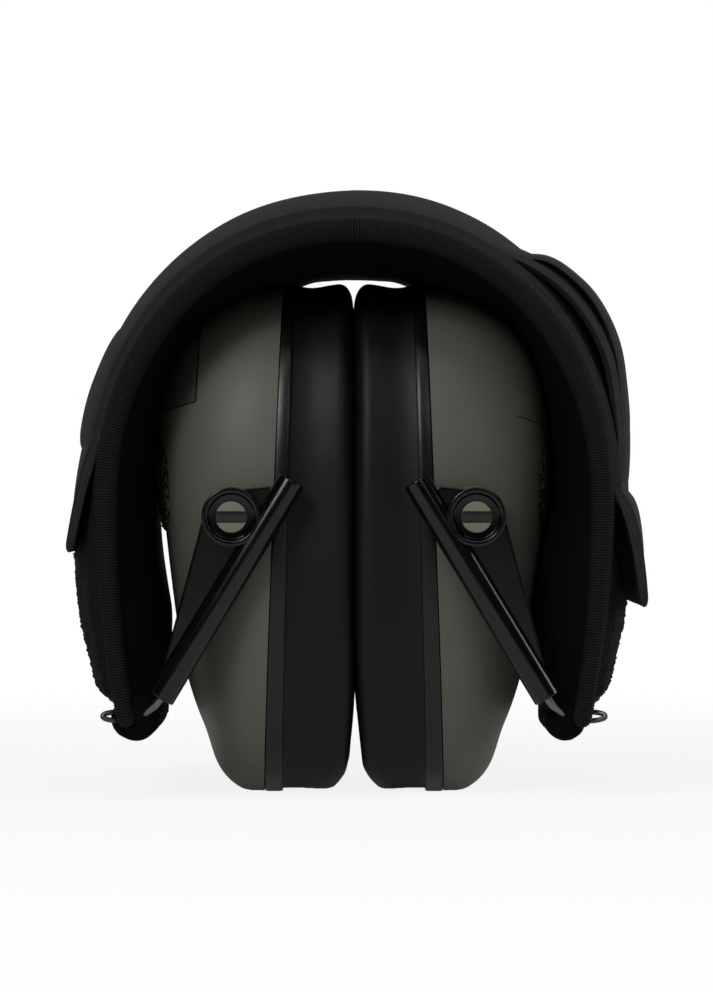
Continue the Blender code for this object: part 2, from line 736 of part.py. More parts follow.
def build_cushion(label, side, carrier):
    """A ring with a crowned face, drawn in where it meets the plate."""
    base = PLATE_INNER + CLEAR
    face = (PIVOT_X - CUSHION_GAP) / cos(CUP_LEAN)
    deep = face - base
    out_depth, out_height = CUP_HALF_DEPTH - CUSHION_INSET, CUP_HALF_HEIGHT - CUSHION_INSET
    span = out_depth - EAR_HALF_DEPTH
    section = [(0.5 + 0.5 * c, 0.5 + 0.5 * s) for c, s in squircle(14, 0.5)]
    taller = (out_height - EAR_HALF_HEIGHT) / span
    rings = []
    for i in range(SEGMENTS):
        ring = []
        for across, rise in section:
            draw = CUSHION_CROWN * (1 - rise) * (2 * across - 1)
            inset = span * (1 - across) + draw
            y, up = oval(out_depth - inset, out_height - inset * taller)[i]
            up -= CUP_CENTRE_BELOW_PIVOT
            inward = base + rise * (deep - up * tan(CUP_LEAN))
            point = cup_point(side, inward, y, up)
            point.z = max(point.z, CUSHION_FOOT)
            ring.append(point)
        rings.append(ring)
    new_object(f"{label}_cushion", loft(rings, closed=True), "black_vinyl", carrier)


def build_pin(label, side, name, end, carrier):
    face = Vector((side * PIVOT_X, end * BOSS_FACE_Y, PIVOT_Z))
    outward = Vector((0, end, 0))
    head = CLEAR + ARM_BOSS_THICK - ARM_RECESS_DEPTH + CLEAR
    profile = [(-PIN_DEPTH, PIN_RADIUS), (head, PIN_RADIUS), (head, PIN_HEAD_RADIUS)]
    top = head + PIN_HEAD_THICK
    profile += [(top - EDGE_BEVEL, PIN_HEAD_RADIUS), (top, PIN_HEAD_RADIUS - EDGE_BEVEL)]
    pin = new_object(f"{label}_pin_{name}", turned(face, outward, profile, 24), "olive", carrier)
    slot_y = end * (BOSS_FACE_Y + top - PIN_SLOT_DEPTH)
    beyond = slot_y + end * BEYOND
    half = PIN_SLOT_HEIGHT / 2
    rings = []
    for x in (-BEYOND, BEYOND):
        at = side * PIVOT_X + x
        corners = ((slot_y, -half), (beyond, -half), (beyond, half), (slot_y, half))
        rings.append([Vector((at, y, PIVOT_Z + z)) for y, z in corners])
    combine(pin, [new_object("slot", loft(rings), "olive", carrier)], "DIFFERENCE")


def build_sound_parts(label, side, carrier):
    """Absorber foam across the cup, the speaker behind it and the microphone under its windscreen."""
    inner = oval(CUP_HALF_DEPTH - SHELL_WALL - FOAM_SIDE_GAP, CUP_HALF_HEIGHT - SHELL_WALL - FOAM_END_GAP)
    rings = []
    for inward in (FOAM_FACE, FOAM_BACK):
        rings.append([cup_point(side, inward, y, up - CUP_CENTRE_BELOW_PIVOT) for y, up in inner])
    new_object(f"{label}_absorber", loft(rings), "grey_foam", carrier)
    back = (FOAM_BACK - CLEAR - SPEAKER_THICK, FOAM_BACK - CLEAR)
    speaker = cup_disc(side, back, 0, -SPEAKER_DROP, SPEAKER_RADIUS, 32)
    new_object(f"{label}_speaker", speaker, "black_plastic", carrier)
    face = mic_face()
    foam = mic_prism(side, (face - MIC_PROUD, face + MIC_DEPTH - CLEAR), 0.0, crown=0.6)
    new_object(f"{label}_mic_foam", foam, "black_foam", carrier)
    wall_in = face + SHELL_WALL + 3 * CLEAR
    capsule = cup_disc(side, (wall_in, wall_in + CAPSULE_LENGTH), MIC_Y, MIC_RISE - 3, CAPSULE_RADIUS, 16)
    new_object(f"{label}_mic_capsule", capsule, "steel", carrier)


def build_battery(side, carrier, door_carrier):
    """Two cells in a tray behind the door, with a sprung contact plate at each end."""
    door = new_object("battery_door", dome(side, 0.0, 0.0), "black_plastic", door_carrier)
    hollow = new_object("hollow", dome(side, SHELL_WALL, 2.0), "black_plastic", door_carrier)
    combine(door, [hollow], "DIFFERENCE")
    keep = new_object("keep", door_corner(side, CLEAR), "black_plastic", door_carrier)
    combine(door, [keep], "INTERSECT")
    half = CELL_LENGTH / 2
    for name, up in zip(("lower", "upper"), CELL_UPS):
        start = cup_point(side, CELL_INWARD, -half, up)
        body = CELL_LENGTH - CELL_NUB_LENGTH
        profile = [(0, CELL_RADIUS), (body, CELL_RADIUS)]
        profile += [(body, CELL_NUB_RADIUS), (CELL_LENGTH, CELL_NUB_RADIUS)]
        new_object(f"battery_{name}", turned(start, (0, 1, 0), profile, 20), "cell_grey", carrier)
    low = CELL_UPS[0] - CELL_RADIUS - CLEAR
    high = CELL_UPS[1] + CELL_RADIUS + CLEAR
    back = CELL_INWARD + CELL_RADIUS + CLEAR
    mouth = back - TRAY_DEPTH
    gap = CONTACT_THICK + 2 * CLEAR
    ends = half + gap
    outer_ys = (-ends - TRAY_WALL, ends + TRAY_WALL)
    tray = cup_block(side, (mouth, back + TRAY_WALL), outer_ys, (low - TRAY_WALL, high + TRAY_WALL))
    tray = new_object("battery_tray", tray, "black_plastic", carrier)
    room = cup_block(side, (mouth - BEYOND, back), (-ends, ends), (low, high))
    combine(tray, [new_object("room", room, "black_plastic", carrier)], "DIFFERENCE")
    for name, end in ENDS.items():
        ys = (end * (half + CLEAR), end * (half + CLEAR + CONTACT_THICK))
        plate = cup_block(side, (mouth + CLEAR, back - CLEAR), ys, (low + CLEAR, high - CLEAR))
        new_object(f"battery_contact_{name}", plate, "steel", carrier)


def build_volume_control(side, carrier, knob_carrier):
    """The knob in its round seat, the control behind the wall and its circuit board."""
    back = KNOB_SEAT_INWARD - CLEAR
    knob = cup_disc(side, (back - KNOB_THICK, back), KNOB_Y, KNOB_UP, KNOB_RADIUS, 32)
    knob = new_object("volume_knob", knob, "black_plastic", knob_carrier)
    pot_front = KNOB_SEAT_INWARD + POT_BEHIND_SEAT
    shaft = cup_disc(side, (back - 1, pot_front - CLEAR), KNOB_Y, KNOB_UP, SHAFT_RADIUS, 16)
    combine(knob, [new_object("shaft", shaft, "black_plastic", knob_carrier)], "UNION")
    pot = cup_disc(side, (pot_front, pot_front + POT_THICK), KNOB_Y, KNOB_UP, POT_RADIUS, 20)
    new_object("volume_control", pot, "steel", carrier)
    front = pot_front + POT_THICK + CLEAR
    rear = KNOB_Y + POT_RADIUS
    low = KNOB_UP - BOARD_BELOW_KNOB
    ys = (rear - BOARD_SIZE[0], rear)
    board = cup_block(side, (front, front + BOARD_THICK), ys, (low, low + BOARD_SIZE[1]))
    new_object("circuit_board", board, "board_green", carrier)


def main():
    clear_scene()
    crown = axis_empty("crown", (0, 0, 0))
    build_crown(crown)
    for label, side in SIDES.items():
        hinge = arch_point(side, CROWN_HALF_LENGTH, POCKET_HALF + PAD_EDGE + COVER_CROWN, 0)
        band = axis_empty(f"{label}_spread_axis", hinge, crown)
        build_band_side(label, side, band)
        fold = axis_empty(f"{label}_fold_axis", (side * HEM_X, 0, HEM_Z), band)
        build_yoke_wire(label, side, fold)
        slide = axis_empty(f"{label}_slide_axis", tube_ends(side, 0)[1], fold)
        for name, end in ENDS.items():
            build_arm(label, side, name, end, slide)
        cup = axis_empty(f"{label}_cup_axis", (side * PIVOT_X, 0, PIVOT_Z), slide)
        build_shell(label, side, cup)
        build_base_plate(label, side, cup)
        build_cushion(label, side, cup)
        build_sound_parts(label, side, cup)
        for name, end in ENDS.items():
            build_pin(label, side, name, end, cup)
        if side < 0:
            door = axis_empty("battery_door_axis", cup_point(side, DOOR_INWARD, 0, DOOR_UP), cup)
            build_battery(side, cup, door)
        else:
            knob = axis_empty("knob_axis", cup_point(side, KNOB_SEAT_INWARD, KNOB_Y, KNOB_UP), cup)
            build_volume_control(side, cup, knob)


main()
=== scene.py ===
"""Looks of a folded electronic earmuff: a padded cloth headband round two moulded cups on wire yokes.

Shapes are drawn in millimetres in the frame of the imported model, with X counted outwards on each side.
"""

import bisect
from math import cos, exp, pi, radians, sin, sqrt, tan

import bmesh
import bpy
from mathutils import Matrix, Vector, noise
from mathutils.bvhtree import BVHTree


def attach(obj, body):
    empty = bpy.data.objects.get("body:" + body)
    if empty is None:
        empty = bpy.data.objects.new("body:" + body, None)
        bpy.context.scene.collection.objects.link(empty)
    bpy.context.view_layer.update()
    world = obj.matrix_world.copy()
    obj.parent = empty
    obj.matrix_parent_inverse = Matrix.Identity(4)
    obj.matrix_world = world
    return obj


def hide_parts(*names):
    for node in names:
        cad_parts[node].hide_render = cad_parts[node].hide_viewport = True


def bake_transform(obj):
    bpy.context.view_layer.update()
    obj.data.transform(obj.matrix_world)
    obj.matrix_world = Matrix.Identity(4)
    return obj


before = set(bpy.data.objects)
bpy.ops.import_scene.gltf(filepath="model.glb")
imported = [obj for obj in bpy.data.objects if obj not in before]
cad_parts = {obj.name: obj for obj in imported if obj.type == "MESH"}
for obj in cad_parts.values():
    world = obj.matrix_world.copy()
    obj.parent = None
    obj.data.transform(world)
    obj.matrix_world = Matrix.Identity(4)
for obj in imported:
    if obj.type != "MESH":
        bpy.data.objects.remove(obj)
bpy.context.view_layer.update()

MM = 0.001
SIDES = {"left": -1, "right": 1}
ENDS = {"front": -1, "rear": 1}

# Camera, lamps and floor
IMAGE_HEIGHT = 992
FOCAL_PIXELS = 4000
CAMERA_AT = (0.0005, -0.840, 0.061)
SENSOR = 36.0
AMBIENT = 0.08
FLOOR_SIZE = 4.0
FLOOR_WHITE = 0.86
FLOOR_FADE = (0.1, 0.45)  # the floor turns white between these distances, in metres
BACKDROP = (-0.15, 0.75)  # Y levels between which the mirrored sky grows bright
LAMP_TARGET = (0, 0, 0.06)
LAMPS = {  # place, width and height in metres, and watts
    "left_softbox": ((-0.42, -0.76, 0.62), 0.3, 0.34, 4.9),
    "right_softbox": ((0.34, -0.82, 0.6), 0.3, 0.3, 0.75),
    "right_rim_light": ((0.92, 0.0, 0.3), 0.3, 0.6, 3.6),
    "top_softbox": ((0.0, -0.3, 0.9), 0.7, 0.4, 2.4),
}

# Cup
PIVOT_X = 24.5
PIVOT_Z = 56.8
LEAN = radians(2.15)
CUP_HALF_DEPTH = 36.0
CUP_HALF_HEIGHT = 53.4
CUP_DROP = 4.6
CUP_ROUNDNESS = 2.5
SHELL_WALL = 2.2
SHELL_BULGE = 22.4
SHELL_RISE = 0.15
SHOULDER_START = 15.0
SHOULDER_FALL = 0.0047
FOOT_START = 22.0
FOOT_FALL = 0.003
FOOT_CORNER = (-38.5, -52.0, 2.7)  # where the shell's foot squares off, and by how much
SEAM_INWARD = 8.1
PLATE_OUTER = 8.2
PLATE_THICK = 3.1
PLATE_TAPER = 0.011
PLATE_PROUD = 0.25
EAR_HALF_DEPTH = 19.0
EAR_HALF_HEIGHT = 29.0
CUSHION_WALL = (  # (share of the height, inset) from the rim to the face
    (0.0, 0.3), (0.1, 0.6), (0.25, 0.75), (0.4, 0.6), (0.55, 0.3), (0.68, 0.1), (0.77, 0.0), (0.86, 0.25),
    (0.93, 0.9), (0.975, 1.8), (1.0, 3.5),
)
CUSHION_SINK = 0.15
CUSHION_LOWEST = 0.7
CUSHION_LOW = (30.0, 2.5)  # under this height the two cushions part, by up to so much
CUSHION_FOOT = (7.0, 3.2)
CUSHION_LIP = ((1.0, 4.0), (0.99, 2.4), (0.96, 1.2), (0.9, 0.5), (0.75, 0.0), (0.4, 0.2), (0.0, 0.4))
DOOR_INWARD = -8.4
DOOR_UP = 23.0
DOOR_GAP = 0.25
DOOR_SLOPE = 0.3
DOOR_TRAVEL = 14.0
DOOR_STEPS = 5
DOOR_MARGIN = 2.0
DOOR_NOTCH = ((-60, 22.4, 60), (-20, 62.4, 82.4))  # the block cut off to pass the rear arm
ROOM_LENGTH = 40  # of the blocks that cut the shell's corner
ROOM_HALF = 60
MIC_HALF_HEIGHT = 9.4
MIC_HALF_WIDTH = 14.0
MIC_Y = -9.5
MIC_RISE = 5.5
MIC_SWELL = 0.9
PARTING = (-9.6, 20.0, 0.37)  # inward and up at its inner end, and its slope
PARTING_WIDTH = 0.22
KNOB_Y = 18.0
KNOB_UP = -16.0
KNOB_SEAT = -9.6
KNOB_RADIUS = 7.0
KNOB_RIBS = 32
KNOB_RIB_DEPTH = 0.22
KNOB_MARK = 0.5
KNOB_PROFILE = (  # (height, share of the radius)
    (0.0, 0.0), (0.0, 0.93), (0.3, 0.99), (0.7, 1.0), (2.6, 0.985), (3.2, 0.95), (3.55, 0.86), (3.5, 0.6),
    (3.35, 0.0),
)
KNOB_POCKET = ((-9, 0), (-9, 2.3), (0, 2.3), (0, 7.6), (14, 7.6), (14, 0))

# Arms and wires
BOSS_FACE_Y = 36.4
BOSS_THICK = 5.5
BOSS_RADIUS = 6.0
RECESS_RADIUS = 4.8
RECESS_DEPTH = 1.6
PIN_RADIUS = 3.15
PIN_STEM = 1.75
PIN_HEAD = 1.35
PIN_SLOT = 1.2
SLOT_SHADE_Y = (41.2, 41.6)  # painted shade darkens a pin's slot inside these
CUP_BOSS = (7.5, 6.2)  # length and radius
TUBE_RADIUS = 2.8
TUBE_Y = 39.6
TUBE_TOP = (-12.1, 7.3)
TUBE_BOTTOM = (14.25, -36.3)
TUBE_SPLAY = 1.5  # the rear tubes stand further out at their foot
WEB_OUTLINE = ((6.0, -1.0), (13.6, -29.5), (13.2, -34.0), (-9.5, 3.6), (-7.6, 6.2), (-2.0, 5.6))
WIRE_RADIUS = 0.85
LEG_Y = 37.3
LEG_DEPTH = 40.0
SPRING_Y = 24.0
SPRING_FOOT_Z = 25.0
HOOK_RADIUS = 0.55
HOOK = (
    (43.5, 36.2, 17.4), (48.6, 36.6, 17.6), (50.4, 37.2, 17.2), (50.4, 37.5, 16.4), (48.4, 37.3, 15.9),
    (43.5, 37, 15.8),
)

# Headband
ARCH_HALF_WIDTH = 49.8
ARCH_RISE = 54.4
ARCH_CENTRE_Z = 60.0
ARCH_ROUNDNESS = 2.1
ARCH_DRAW_IN = 4.8
ARCH_FOOT_Z = 12.2
BAND_HALF = 40.0
HEM_X = 42.6
HEM_Z = 16.8
HEM_HALF = 38.4
HEM_FLAT = 29.0
HEM_ROLLS = {-1: (43.9, 16.5, 4.7), 1: (42.4, 15.6, 3.8)}  # outward, up and radius
BINDING_HALF = 2.2
BINDING_DEPTH = 2.2
BINDING_FOOT_Z = 14.6
RIB_PITCH = 0.56
RIB_HEIGHT = 0.26
RIB_STEPS = 4
COVER_FOOT_Z = {-1: 50.0, 1: 39.5}
TAB_FLARE = {-1: (5.6, 0.95), 1: (7.4, 0.55)}  # how far a tab stands off, and the power of its curve
TAB_FLATNESS = 0.75
TAB_THICK = 4.2
TAB_LENGTH = 22.0
LINING_TOP = ((0, 5.4), (6, 5.3), (10, 5.1), (13, 5.4), (20, 5.2), (27, 4.2), (40, 2.4), (54, 4.0), (66, 5.6))
LINING_CROWNS = {  # (length from the crown, swell) rows
    -1: LINING_TOP + ((76, 6.5), (84, 6.5), (92, 6.9), (101, 7.5), (108, 7.9), (116, 7.2), (130, 4.2)),
    1: LINING_TOP + ((78, 7.2), (84, 7.2), (90, 9.0), (104, 10.4), (116, 8.6), (130, 4.2)),
}
COVER_CROWNS = ((0, 7.9), (18, 7.5), (46, 6.1), (66, 5.2), (80, 4.8), (140, 4.6))
LINING_FOOT_Z = 14.5
LINING_FACE = 0.8
LINING_GAP = 0.35
LINING_PRESS = 0.6  # how far the foam gives where it rests on the tops of the cups
PRESS_SPAN = (10.0, 12.0, 20.0, 26.0)  # lengths where it starts, is full, fades and ends
NO_HIT = 60.0  # stands for the distance of a ray that meets nothing
REAR_SPLAY = 3.0  # how far the band's foot stands further out at the rear
FOOT_SPAN = (104.0, 124.0)  # lengths where this splay starts and is full
STRAPS = {  # (height, offset at the edge) rows, then half width, crown and thickness
    -1: {"strap": (((93, 2.4), (91, 3.5), (84, 3.8), (74, 3.8), (70.5, 3.3), (69, 2.2)), 35.0, 4.0, 1.6)},
    1: {
        "under_fold": (
            ((107, 3.6), (103, 5.6), (98, 7.0), (92, 7.4), (86, 7.0), (79, 5.6), (72, 4.4), (64, 3.0)),
            35.8, 2.4, 3.4,
        ),
        "over_fold": (
            (
                (104.5, 5.4), (102, 8.6), (98, 10.0), (94, 10.4), (88, 9.6), (81, 7.6), (76, 6.3), (70, 4.9),
                (60, 3.0),
            ),
            34.0, 2.2, 1.7,
        ),
    },
}
PANEL_CROWN = {-1: 6.4, 1: 5.6}
PANEL_FOOT_Z = 20.0
LINING_SEAMS = {-1: 20.4, 1: 15.4}
PIPING_AT = (0.75, 2.1)  # distances from the cover's edge
PIPING_RADIUS = 0.62


class Value:
    """A shader socket. Arithmetic on it adds Math nodes to its finish."""

    def __init__(self, finish, socket):
        self.finish = finish
        self.socket = socket

    def __add__(self, other):
        return self.finish.math("ADD", self, other)

    def __sub__(self, other):
        return self.finish.math("SUBTRACT", self, other)

    def __rsub__(self, other):
        return self.finish.math("SUBTRACT", other, self)

    def __mul__(self, other):
        return self.finish.math("MULTIPLY", self, other)

    def __abs__(self):
        return self.finish.math("ABSOLUTE", self)

    def sine(self):
        return self.finish.math("SINE", self)


class Nodes:
    """A node tree that is written one node at a time."""

    def __init__(self, tree):
        self.tree = tree

    def put(self, node, sockets):
        for key, value in sockets.items():
            if isinstance(value, Value):
                self.tree.links.new(value.socket, node.inputs[key])
            else:
                node.inputs[key].default_value = value

    def node(self, kind, settings, sockets, output=0):
        made = self.tree.nodes.new(kind)
        for key, value in settings.items():
            setattr(made, key, value)
        self.put(made, sockets)
        return Value(self, made.outputs[output])

    def math(self, operation, *values):
        return self.node("ShaderNodeMath", {"operation": operation}, dict(enumerate(values)))

    def split(self, vector, part):
        return self.node("ShaderNodeSeparateXYZ", {}, {0: vector}, output=part)

    def span(self, value, low, high):
        """A smooth step from 0 to 1 between two levels of a value."""
        sockets = {"Value": value, "From Min": low, "From Max": high}
        return self.node("ShaderNodeMapRange", {"interpolation_type": "SMOOTHSTEP"}, sockets)

    def ray(self, kind):
        return self.node("ShaderNodeLightPath", {}, {}, output=f"Is {kind} Ray")


class Finish(Nodes):
    """One Principled material and the nodes that vary it over a surface."""

    def __init__(self, name, **sockets):
        self.material = bpy.data.materials.new(name)
        self.material.use_nodes = True
        super().__init__(self.material.node_tree)
        self.shader = self.tree.nodes["Principled BSDF"]
        self.dress(**sockets)

    def dress(self, **sockets):
        self.put(self.shader, {key.replace("_", " "): value for key, value in sockets.items()})

    def place(self, stretch=(1, 1, 1), kind="Object"):
        """Coordinates in metres, or a UV map in millimetres, stretched along its axes."""
        where = self.node("ShaderNodeTexCoord", {}, {}, output=kind)
        return self.node("ShaderNodeMapping", {}, {"Vector": where, "Scale": stretch})

    def noise(self, where, scale, detail=3.0, roughness=0.55):
        sockets = {"Vector": where, "Scale": scale, "Detail": detail, "Roughness": roughness}
        return self.node("ShaderNodeTexNoise", {}, sockets)

    def cells(self, where, scale, feature="F1"):
        return self.node("ShaderNodeTexVoronoi", {"feature": feature}, {"Vector": where, "Scale": scale})

    def mix(self, share, *colours):
        """A blend of two colours, each a socket or (red, green, blue)."""
        first, second = (c if isinstance(c, Value) else (*c, 1.0) for c in colours)
        return self.node("ShaderNodeMix", {"data_type": "RGBA"}, {0: share, 6: first, 7: second}, output=2)

    def bump(self, height, distance):
        sockets = {"Height": height, "Distance": distance, "Strength": 1.0}
        self.dress(Normal=self.node("ShaderNodeBump", {}, sockets))


def moulded(name, dark, light, roughness, grain=0.00004, pitch=3200):
    """Moulded plastic: a fine spark grain, slow colour drift and slightly uneven gloss."""
    made = Finish(name, Specular_IOR_Level=0.32)
    where = made.place()
    drift = made.noise(where, 45)
    speck = made.noise(where, pitch, 2.0)
    made.dress(Base_Color=made.mix(drift, dark, light))
    made.dress(Roughness=made.noise(where, 160) * 0.14 + (roughness - 0.07))
    made.bump(speck, grain)
    return made


def slotted(name, dark, light):
    """Moulded plastic with painted shade in the slot across a pin's head."""
    made = moulded(name, dark, light, 0.42)
    where = made.place()
    height = abs(made.split(where, 2) - PIVOT_Z * MM)
    depth = abs(made.split(where, 1))
    outside = made.span(height, PIN_SLOT * 0.9 * MM, PIN_SLOT * MM)
    above = made.span(depth, SLOT_SHADE_Y[0] * MM, SLOT_SHADE_Y[1] * MM)
    plain = made.mix(made.noise(where, 45), dark, light)
    # painted shade: inside the slot the colour turns to a near-black olive
    made.dress(Base_Color=made.mix((1 - outside) * (1 - above), plain, (0.02, 0.021, 0.016)))
    return made


def woven(name, dark, light, pitch, depth):
    """Cloth with a plain weave whose threads follow the piece's UV map, in millimetres."""
    made = Finish(name, Roughness=0.8, Specular_IOR_Level=0.06)
    where = made.place(kind="UV")
    along = made.split(where, 0) * (2 * pi / pitch)
    across = made.split(where, 1) * (2 * pi / pitch)
    threads = along.sine() * across.sine() * 0.5 + 0.5
    fluff = made.noise(made.place(), 900)
    made.dress(Base_Color=made.mix(fluff * 0.6 + threads * 0.4, dark, light))
    made.bump(threads + fluff * 0.8, depth)
    return made


def ribbed(name):
    """Grosgrain tape with painted shade in the grooves between its ribs. Its UV map counts ribs along the
    tape.
    """
    made = Finish(name, Roughness=0.8, Specular_IOR_Level=0.1)
    along = made.split(made.place(kind="UV"), 0)
    ribs = (along * (2 * pi) - pi / 2).sine() * 0.5 + 0.5
    fluff = made.noise(made.place(), 1200)
    shade = ribs * 0.85 + fluff * 0.15
    # painted shade: near black in the grooves, the tape's own black on the ribs, with fluff adding random
    # tone
    made.dress(Base_Color=made.mix(shade, (0.0003,) * 3, (0.0115, 0.0115, 0.0116)))
    made.bump(fluff, 0.00004)
    return made


def pile(name):
    """Brushed loop cloth: tangled tufts."""
    made = Finish(name, Roughness=1.0, Specular_IOR_Level=0.1)
    where = made.place()
    tufts = made.cells(where, 1500)
    fuzz = made.noise(where, 2600, 4.0, 0.7)
    made.dress(Base_Color=made.mix(fuzz, (0.002, 0.002, 0.0022), (0.014, 0.014, 0.0148)))
    made.bump(fuzz - tufts * 0.7, 0.0005)
    return made


def vinyl(name):
    """Soft black vinyl: pebble grain, slow creases and a dull gloss."""
    made = Finish(name, Specular_IOR_Level=0.2)
    where = made.place()
    pebbles = made.cells(where, 1700, "SMOOTH_F1")
    creases = made.noise(made.place((1, 1, 0.35)), 90, 4.0)
    made.dress(Base_Color=made.mix(creases, (0.0016, 0.0016, 0.0019), (0.0028, 0.0028, 0.0032)))
    made.dress(Roughness=creases * 0.16 + 0.42)
    made.bump(pebbles * 0.5 + creases * 2.0, 0.00003)
    return made


def open_foam(name, dark, light, scale):
    """Open-cell foam: pits painted dark as shade between fine struts."""
    made = Finish(name, Roughness=0.95, Specular_IOR_Level=0.2)
    pits = made.cells(made.place(), scale)
    struts = made.span(pits, 0.36, 0.7)
    # painted shade: the pits take the dark colour, the struts the light one
    made.dress(Base_Color=made.mix(struts, dark, light))
    made.bump(pits, 0.0006)
    return made


def drawn_steel(name, shade):
    """Wire with faint drawing lines."""
    made = Finish(name, Metallic=1.0)
    where = made.place((1, 1, 0.1))
    lines = made.noise(where, 2500, 2.0)
    made.dress(Base_Color=made.mix(lines, (shade * 0.65,) * 3, (shade,) * 3))
    made.dress(Roughness=lines * 0.15 + 0.22)
    made.bump(lines, 0.00002)
    return made


FINISHES = {
    "olive": moulded("olive_plastic", (0.068, 0.0705, 0.0545), (0.081, 0.084, 0.065), 0.5),
    "pin": slotted("pin_plastic", (0.115, 0.12, 0.088), (0.14, 0.146, 0.108)),
    "arm": moulded("arm_plastic", (0.0012, 0.0012, 0.0013), (0.0022, 0.0022, 0.0023), 0.2, 0.000001),
    "rim": moulded("rim_plastic", (0.0014, 0.0014, 0.0015), (0.0026, 0.0026, 0.0027), 0.3),
    # the door's dark plastic is lightened here: painted light that makes up for the shade the band casts on
    # it
    "door": moulded("door_plastic", (0.034, 0.034, 0.033), (0.05, 0.05, 0.048), 0.5, 0.00008, 2200),
    "cover": woven("cover_cloth", (0.012, 0.012, 0.0121), (0.034, 0.034, 0.0344), 0.7, 0.00012),
    "lining": woven("lining_cloth", (0.0006,) * 3, (0.0014,) * 3, 0.5, 0.00005),
    "tape": ribbed("ribbed_tape"),
    "pile": pile("loop_pile"),
    "vinyl": vinyl("cushion_vinyl"),
    # the dark colours of both foams are painted shade in their pits
    "windscreen": open_foam("windscreen_foam", (0.0006,) * 3, (0.045, 0.045, 0.038), 1150),
    "absorber": open_foam("absorber_foam", (0.02, 0.02, 0.021), (0.09, 0.09, 0.092), 1500),
    "steel": drawn_steel("wire_steel", 0.16),
    "dark_steel": drawn_steel("dark_wire_steel", 0.09),
    "board": moulded("board_resin", (0.008, 0.05, 0.02), (0.012, 0.075, 0.03), 0.45),
    "cell": moulded("cell_jacket", (0.05, 0.05, 0.055), (0.07, 0.07, 0.075), 0.3),
}


# Mesh makers, all in millimetres


def mesh_of(work, name):
    mesh = bpy.data.meshes.new(name)
    work.to_mesh(mesh)
    work.free()
    return mesh


def added(name, data):
    """A new object in the scene."""
    obj = bpy.data.objects.new(name, data)
    bpy.context.scene.collection.objects.link(obj)
    return obj


def wrap(rings, size=(1.0, 1.0), loop=False, capped=False):
    """A skin over closed rings of points, with UVs in millimetres. A loop closes on its first ring."""
    count = len(rings[0])
    columns = len(rings) if loop else len(rings) - 1
    work = bmesh.new()
    uv = work.loops.layers.uv.new("UVMap")
    bmesh.ops.create_grid(work, x_segments=columns, y_segments=count, size=0.5, calc_uvs=True)
    for face in work.faces:
        for corner in face.loops:
            spot = corner.vert.co
            corner[uv].uv = ((spot.x + 0.5) * size[0], (spot.y + 0.5) * size[1])
    for vert in work.verts:
        i, j = round((vert.co.x + 0.5) * columns), round((vert.co.y + 0.5) * count)
        vert.co = rings[i % len(rings)][j % count]
    bmesh.ops.remove_doubles(work, verts=work.verts, dist=0.0005)
    if capped:
        rim = [edge for edge in work.edges if edge.is_boundary]
        bmesh.ops.holes_fill(work, edges=rim, sides=0)
    bmesh.ops.recalc_face_normals(work, faces=work.faces)
    return work


def absorb(work, *others):
    """Adds other bmeshes to one, as separate closed shells."""
    for other in others:
        mesh = mesh_of(other, "shell")
        work.from_mesh(mesh)
        bpy.data.meshes.remove(mesh)
    return work


def eased(points, radius, steps=4):
    """A polyline with its inner corners rounded."""
    points = [Vector(point) for point in points]
    result = [points[0]]
    for before, corner, after in zip(points, points[1:], points[2:]):
        to_before = before - corner
        to_after = after - corner
        start = corner + to_before.normalized() * min(radius, to_before.length * 0.45)
        end = corner + to_after.normalized() * min(radius, to_after.length * 0.45)
        for i in range(steps + 1):
            t = i / steps
            result.append(start * (1 - t) ** 2 + corner * 2 * t * (1 - t) + end * t * t)
    return result + [points[-1]]


def bar(low, high, radius):
    """The profile of a round bar between two places along its axis."""
    return [(low, 0), (low, radius), (high, radius), (high, 0)]


def turned(profile, centre, axis, round_edges, steps):
    """A closed profile of (along, radius) points spun round an axis."""
    work = bmesh.new()
    axis = Vector(axis).normalized()
    across = axis.orthogonal().normalized()
    spots = [Vector(centre) + axis * p[0] + across * p[1] for p in eased(profile, round_edges)]
    verts = [work.verts.new(spot) for spot in spots]
    edges = [work.edges.new(pair) for pair in zip(verts, verts[1:])]
    bmesh.ops.spin(
        work, geom=verts + edges, cent=centre, axis=axis, angle=2 * pi, steps=steps, use_merge=True
    )
    bmesh.ops.remove_doubles(work, verts=work.verts, dist=0.0005)
    bmesh.ops.recalc_face_normals(work, faces=work.faces)
    return work


def wire(points, radius, sides):
    """A round wire along points, with its ends rounded off."""
    points = [Vector(point) for point in points]
    across = None
    rings = []
    last = len(points) - 1
    for i, point in enumerate(points):
        along = (points[min(i + 1, last)] - points[max(i - 1, 0)]).normalized()
        across = along.orthogonal() if across is None else across
        across = (across - along * across.dot(along)).normalized()
        other = along.cross(across)
        shares = [(0, 1)]
        if i == 0:
            shares = [(-0.7, 0.0), (-0.55, 0.6), (0, 1)]
        elif i == last:
            shares = [(0, 1), (0.55, 0.6), (0.7, 0.0)]
        for shift, share in shares:
            ring = []
            for k in range(sides):
                turn = 2 * pi * k / sides
                offset = across * cos(turn) + other * sin(turn)
                ring.append(point + along * shift * radius + offset * radius * share)
            rings.append(ring)
    return wrap(rings)


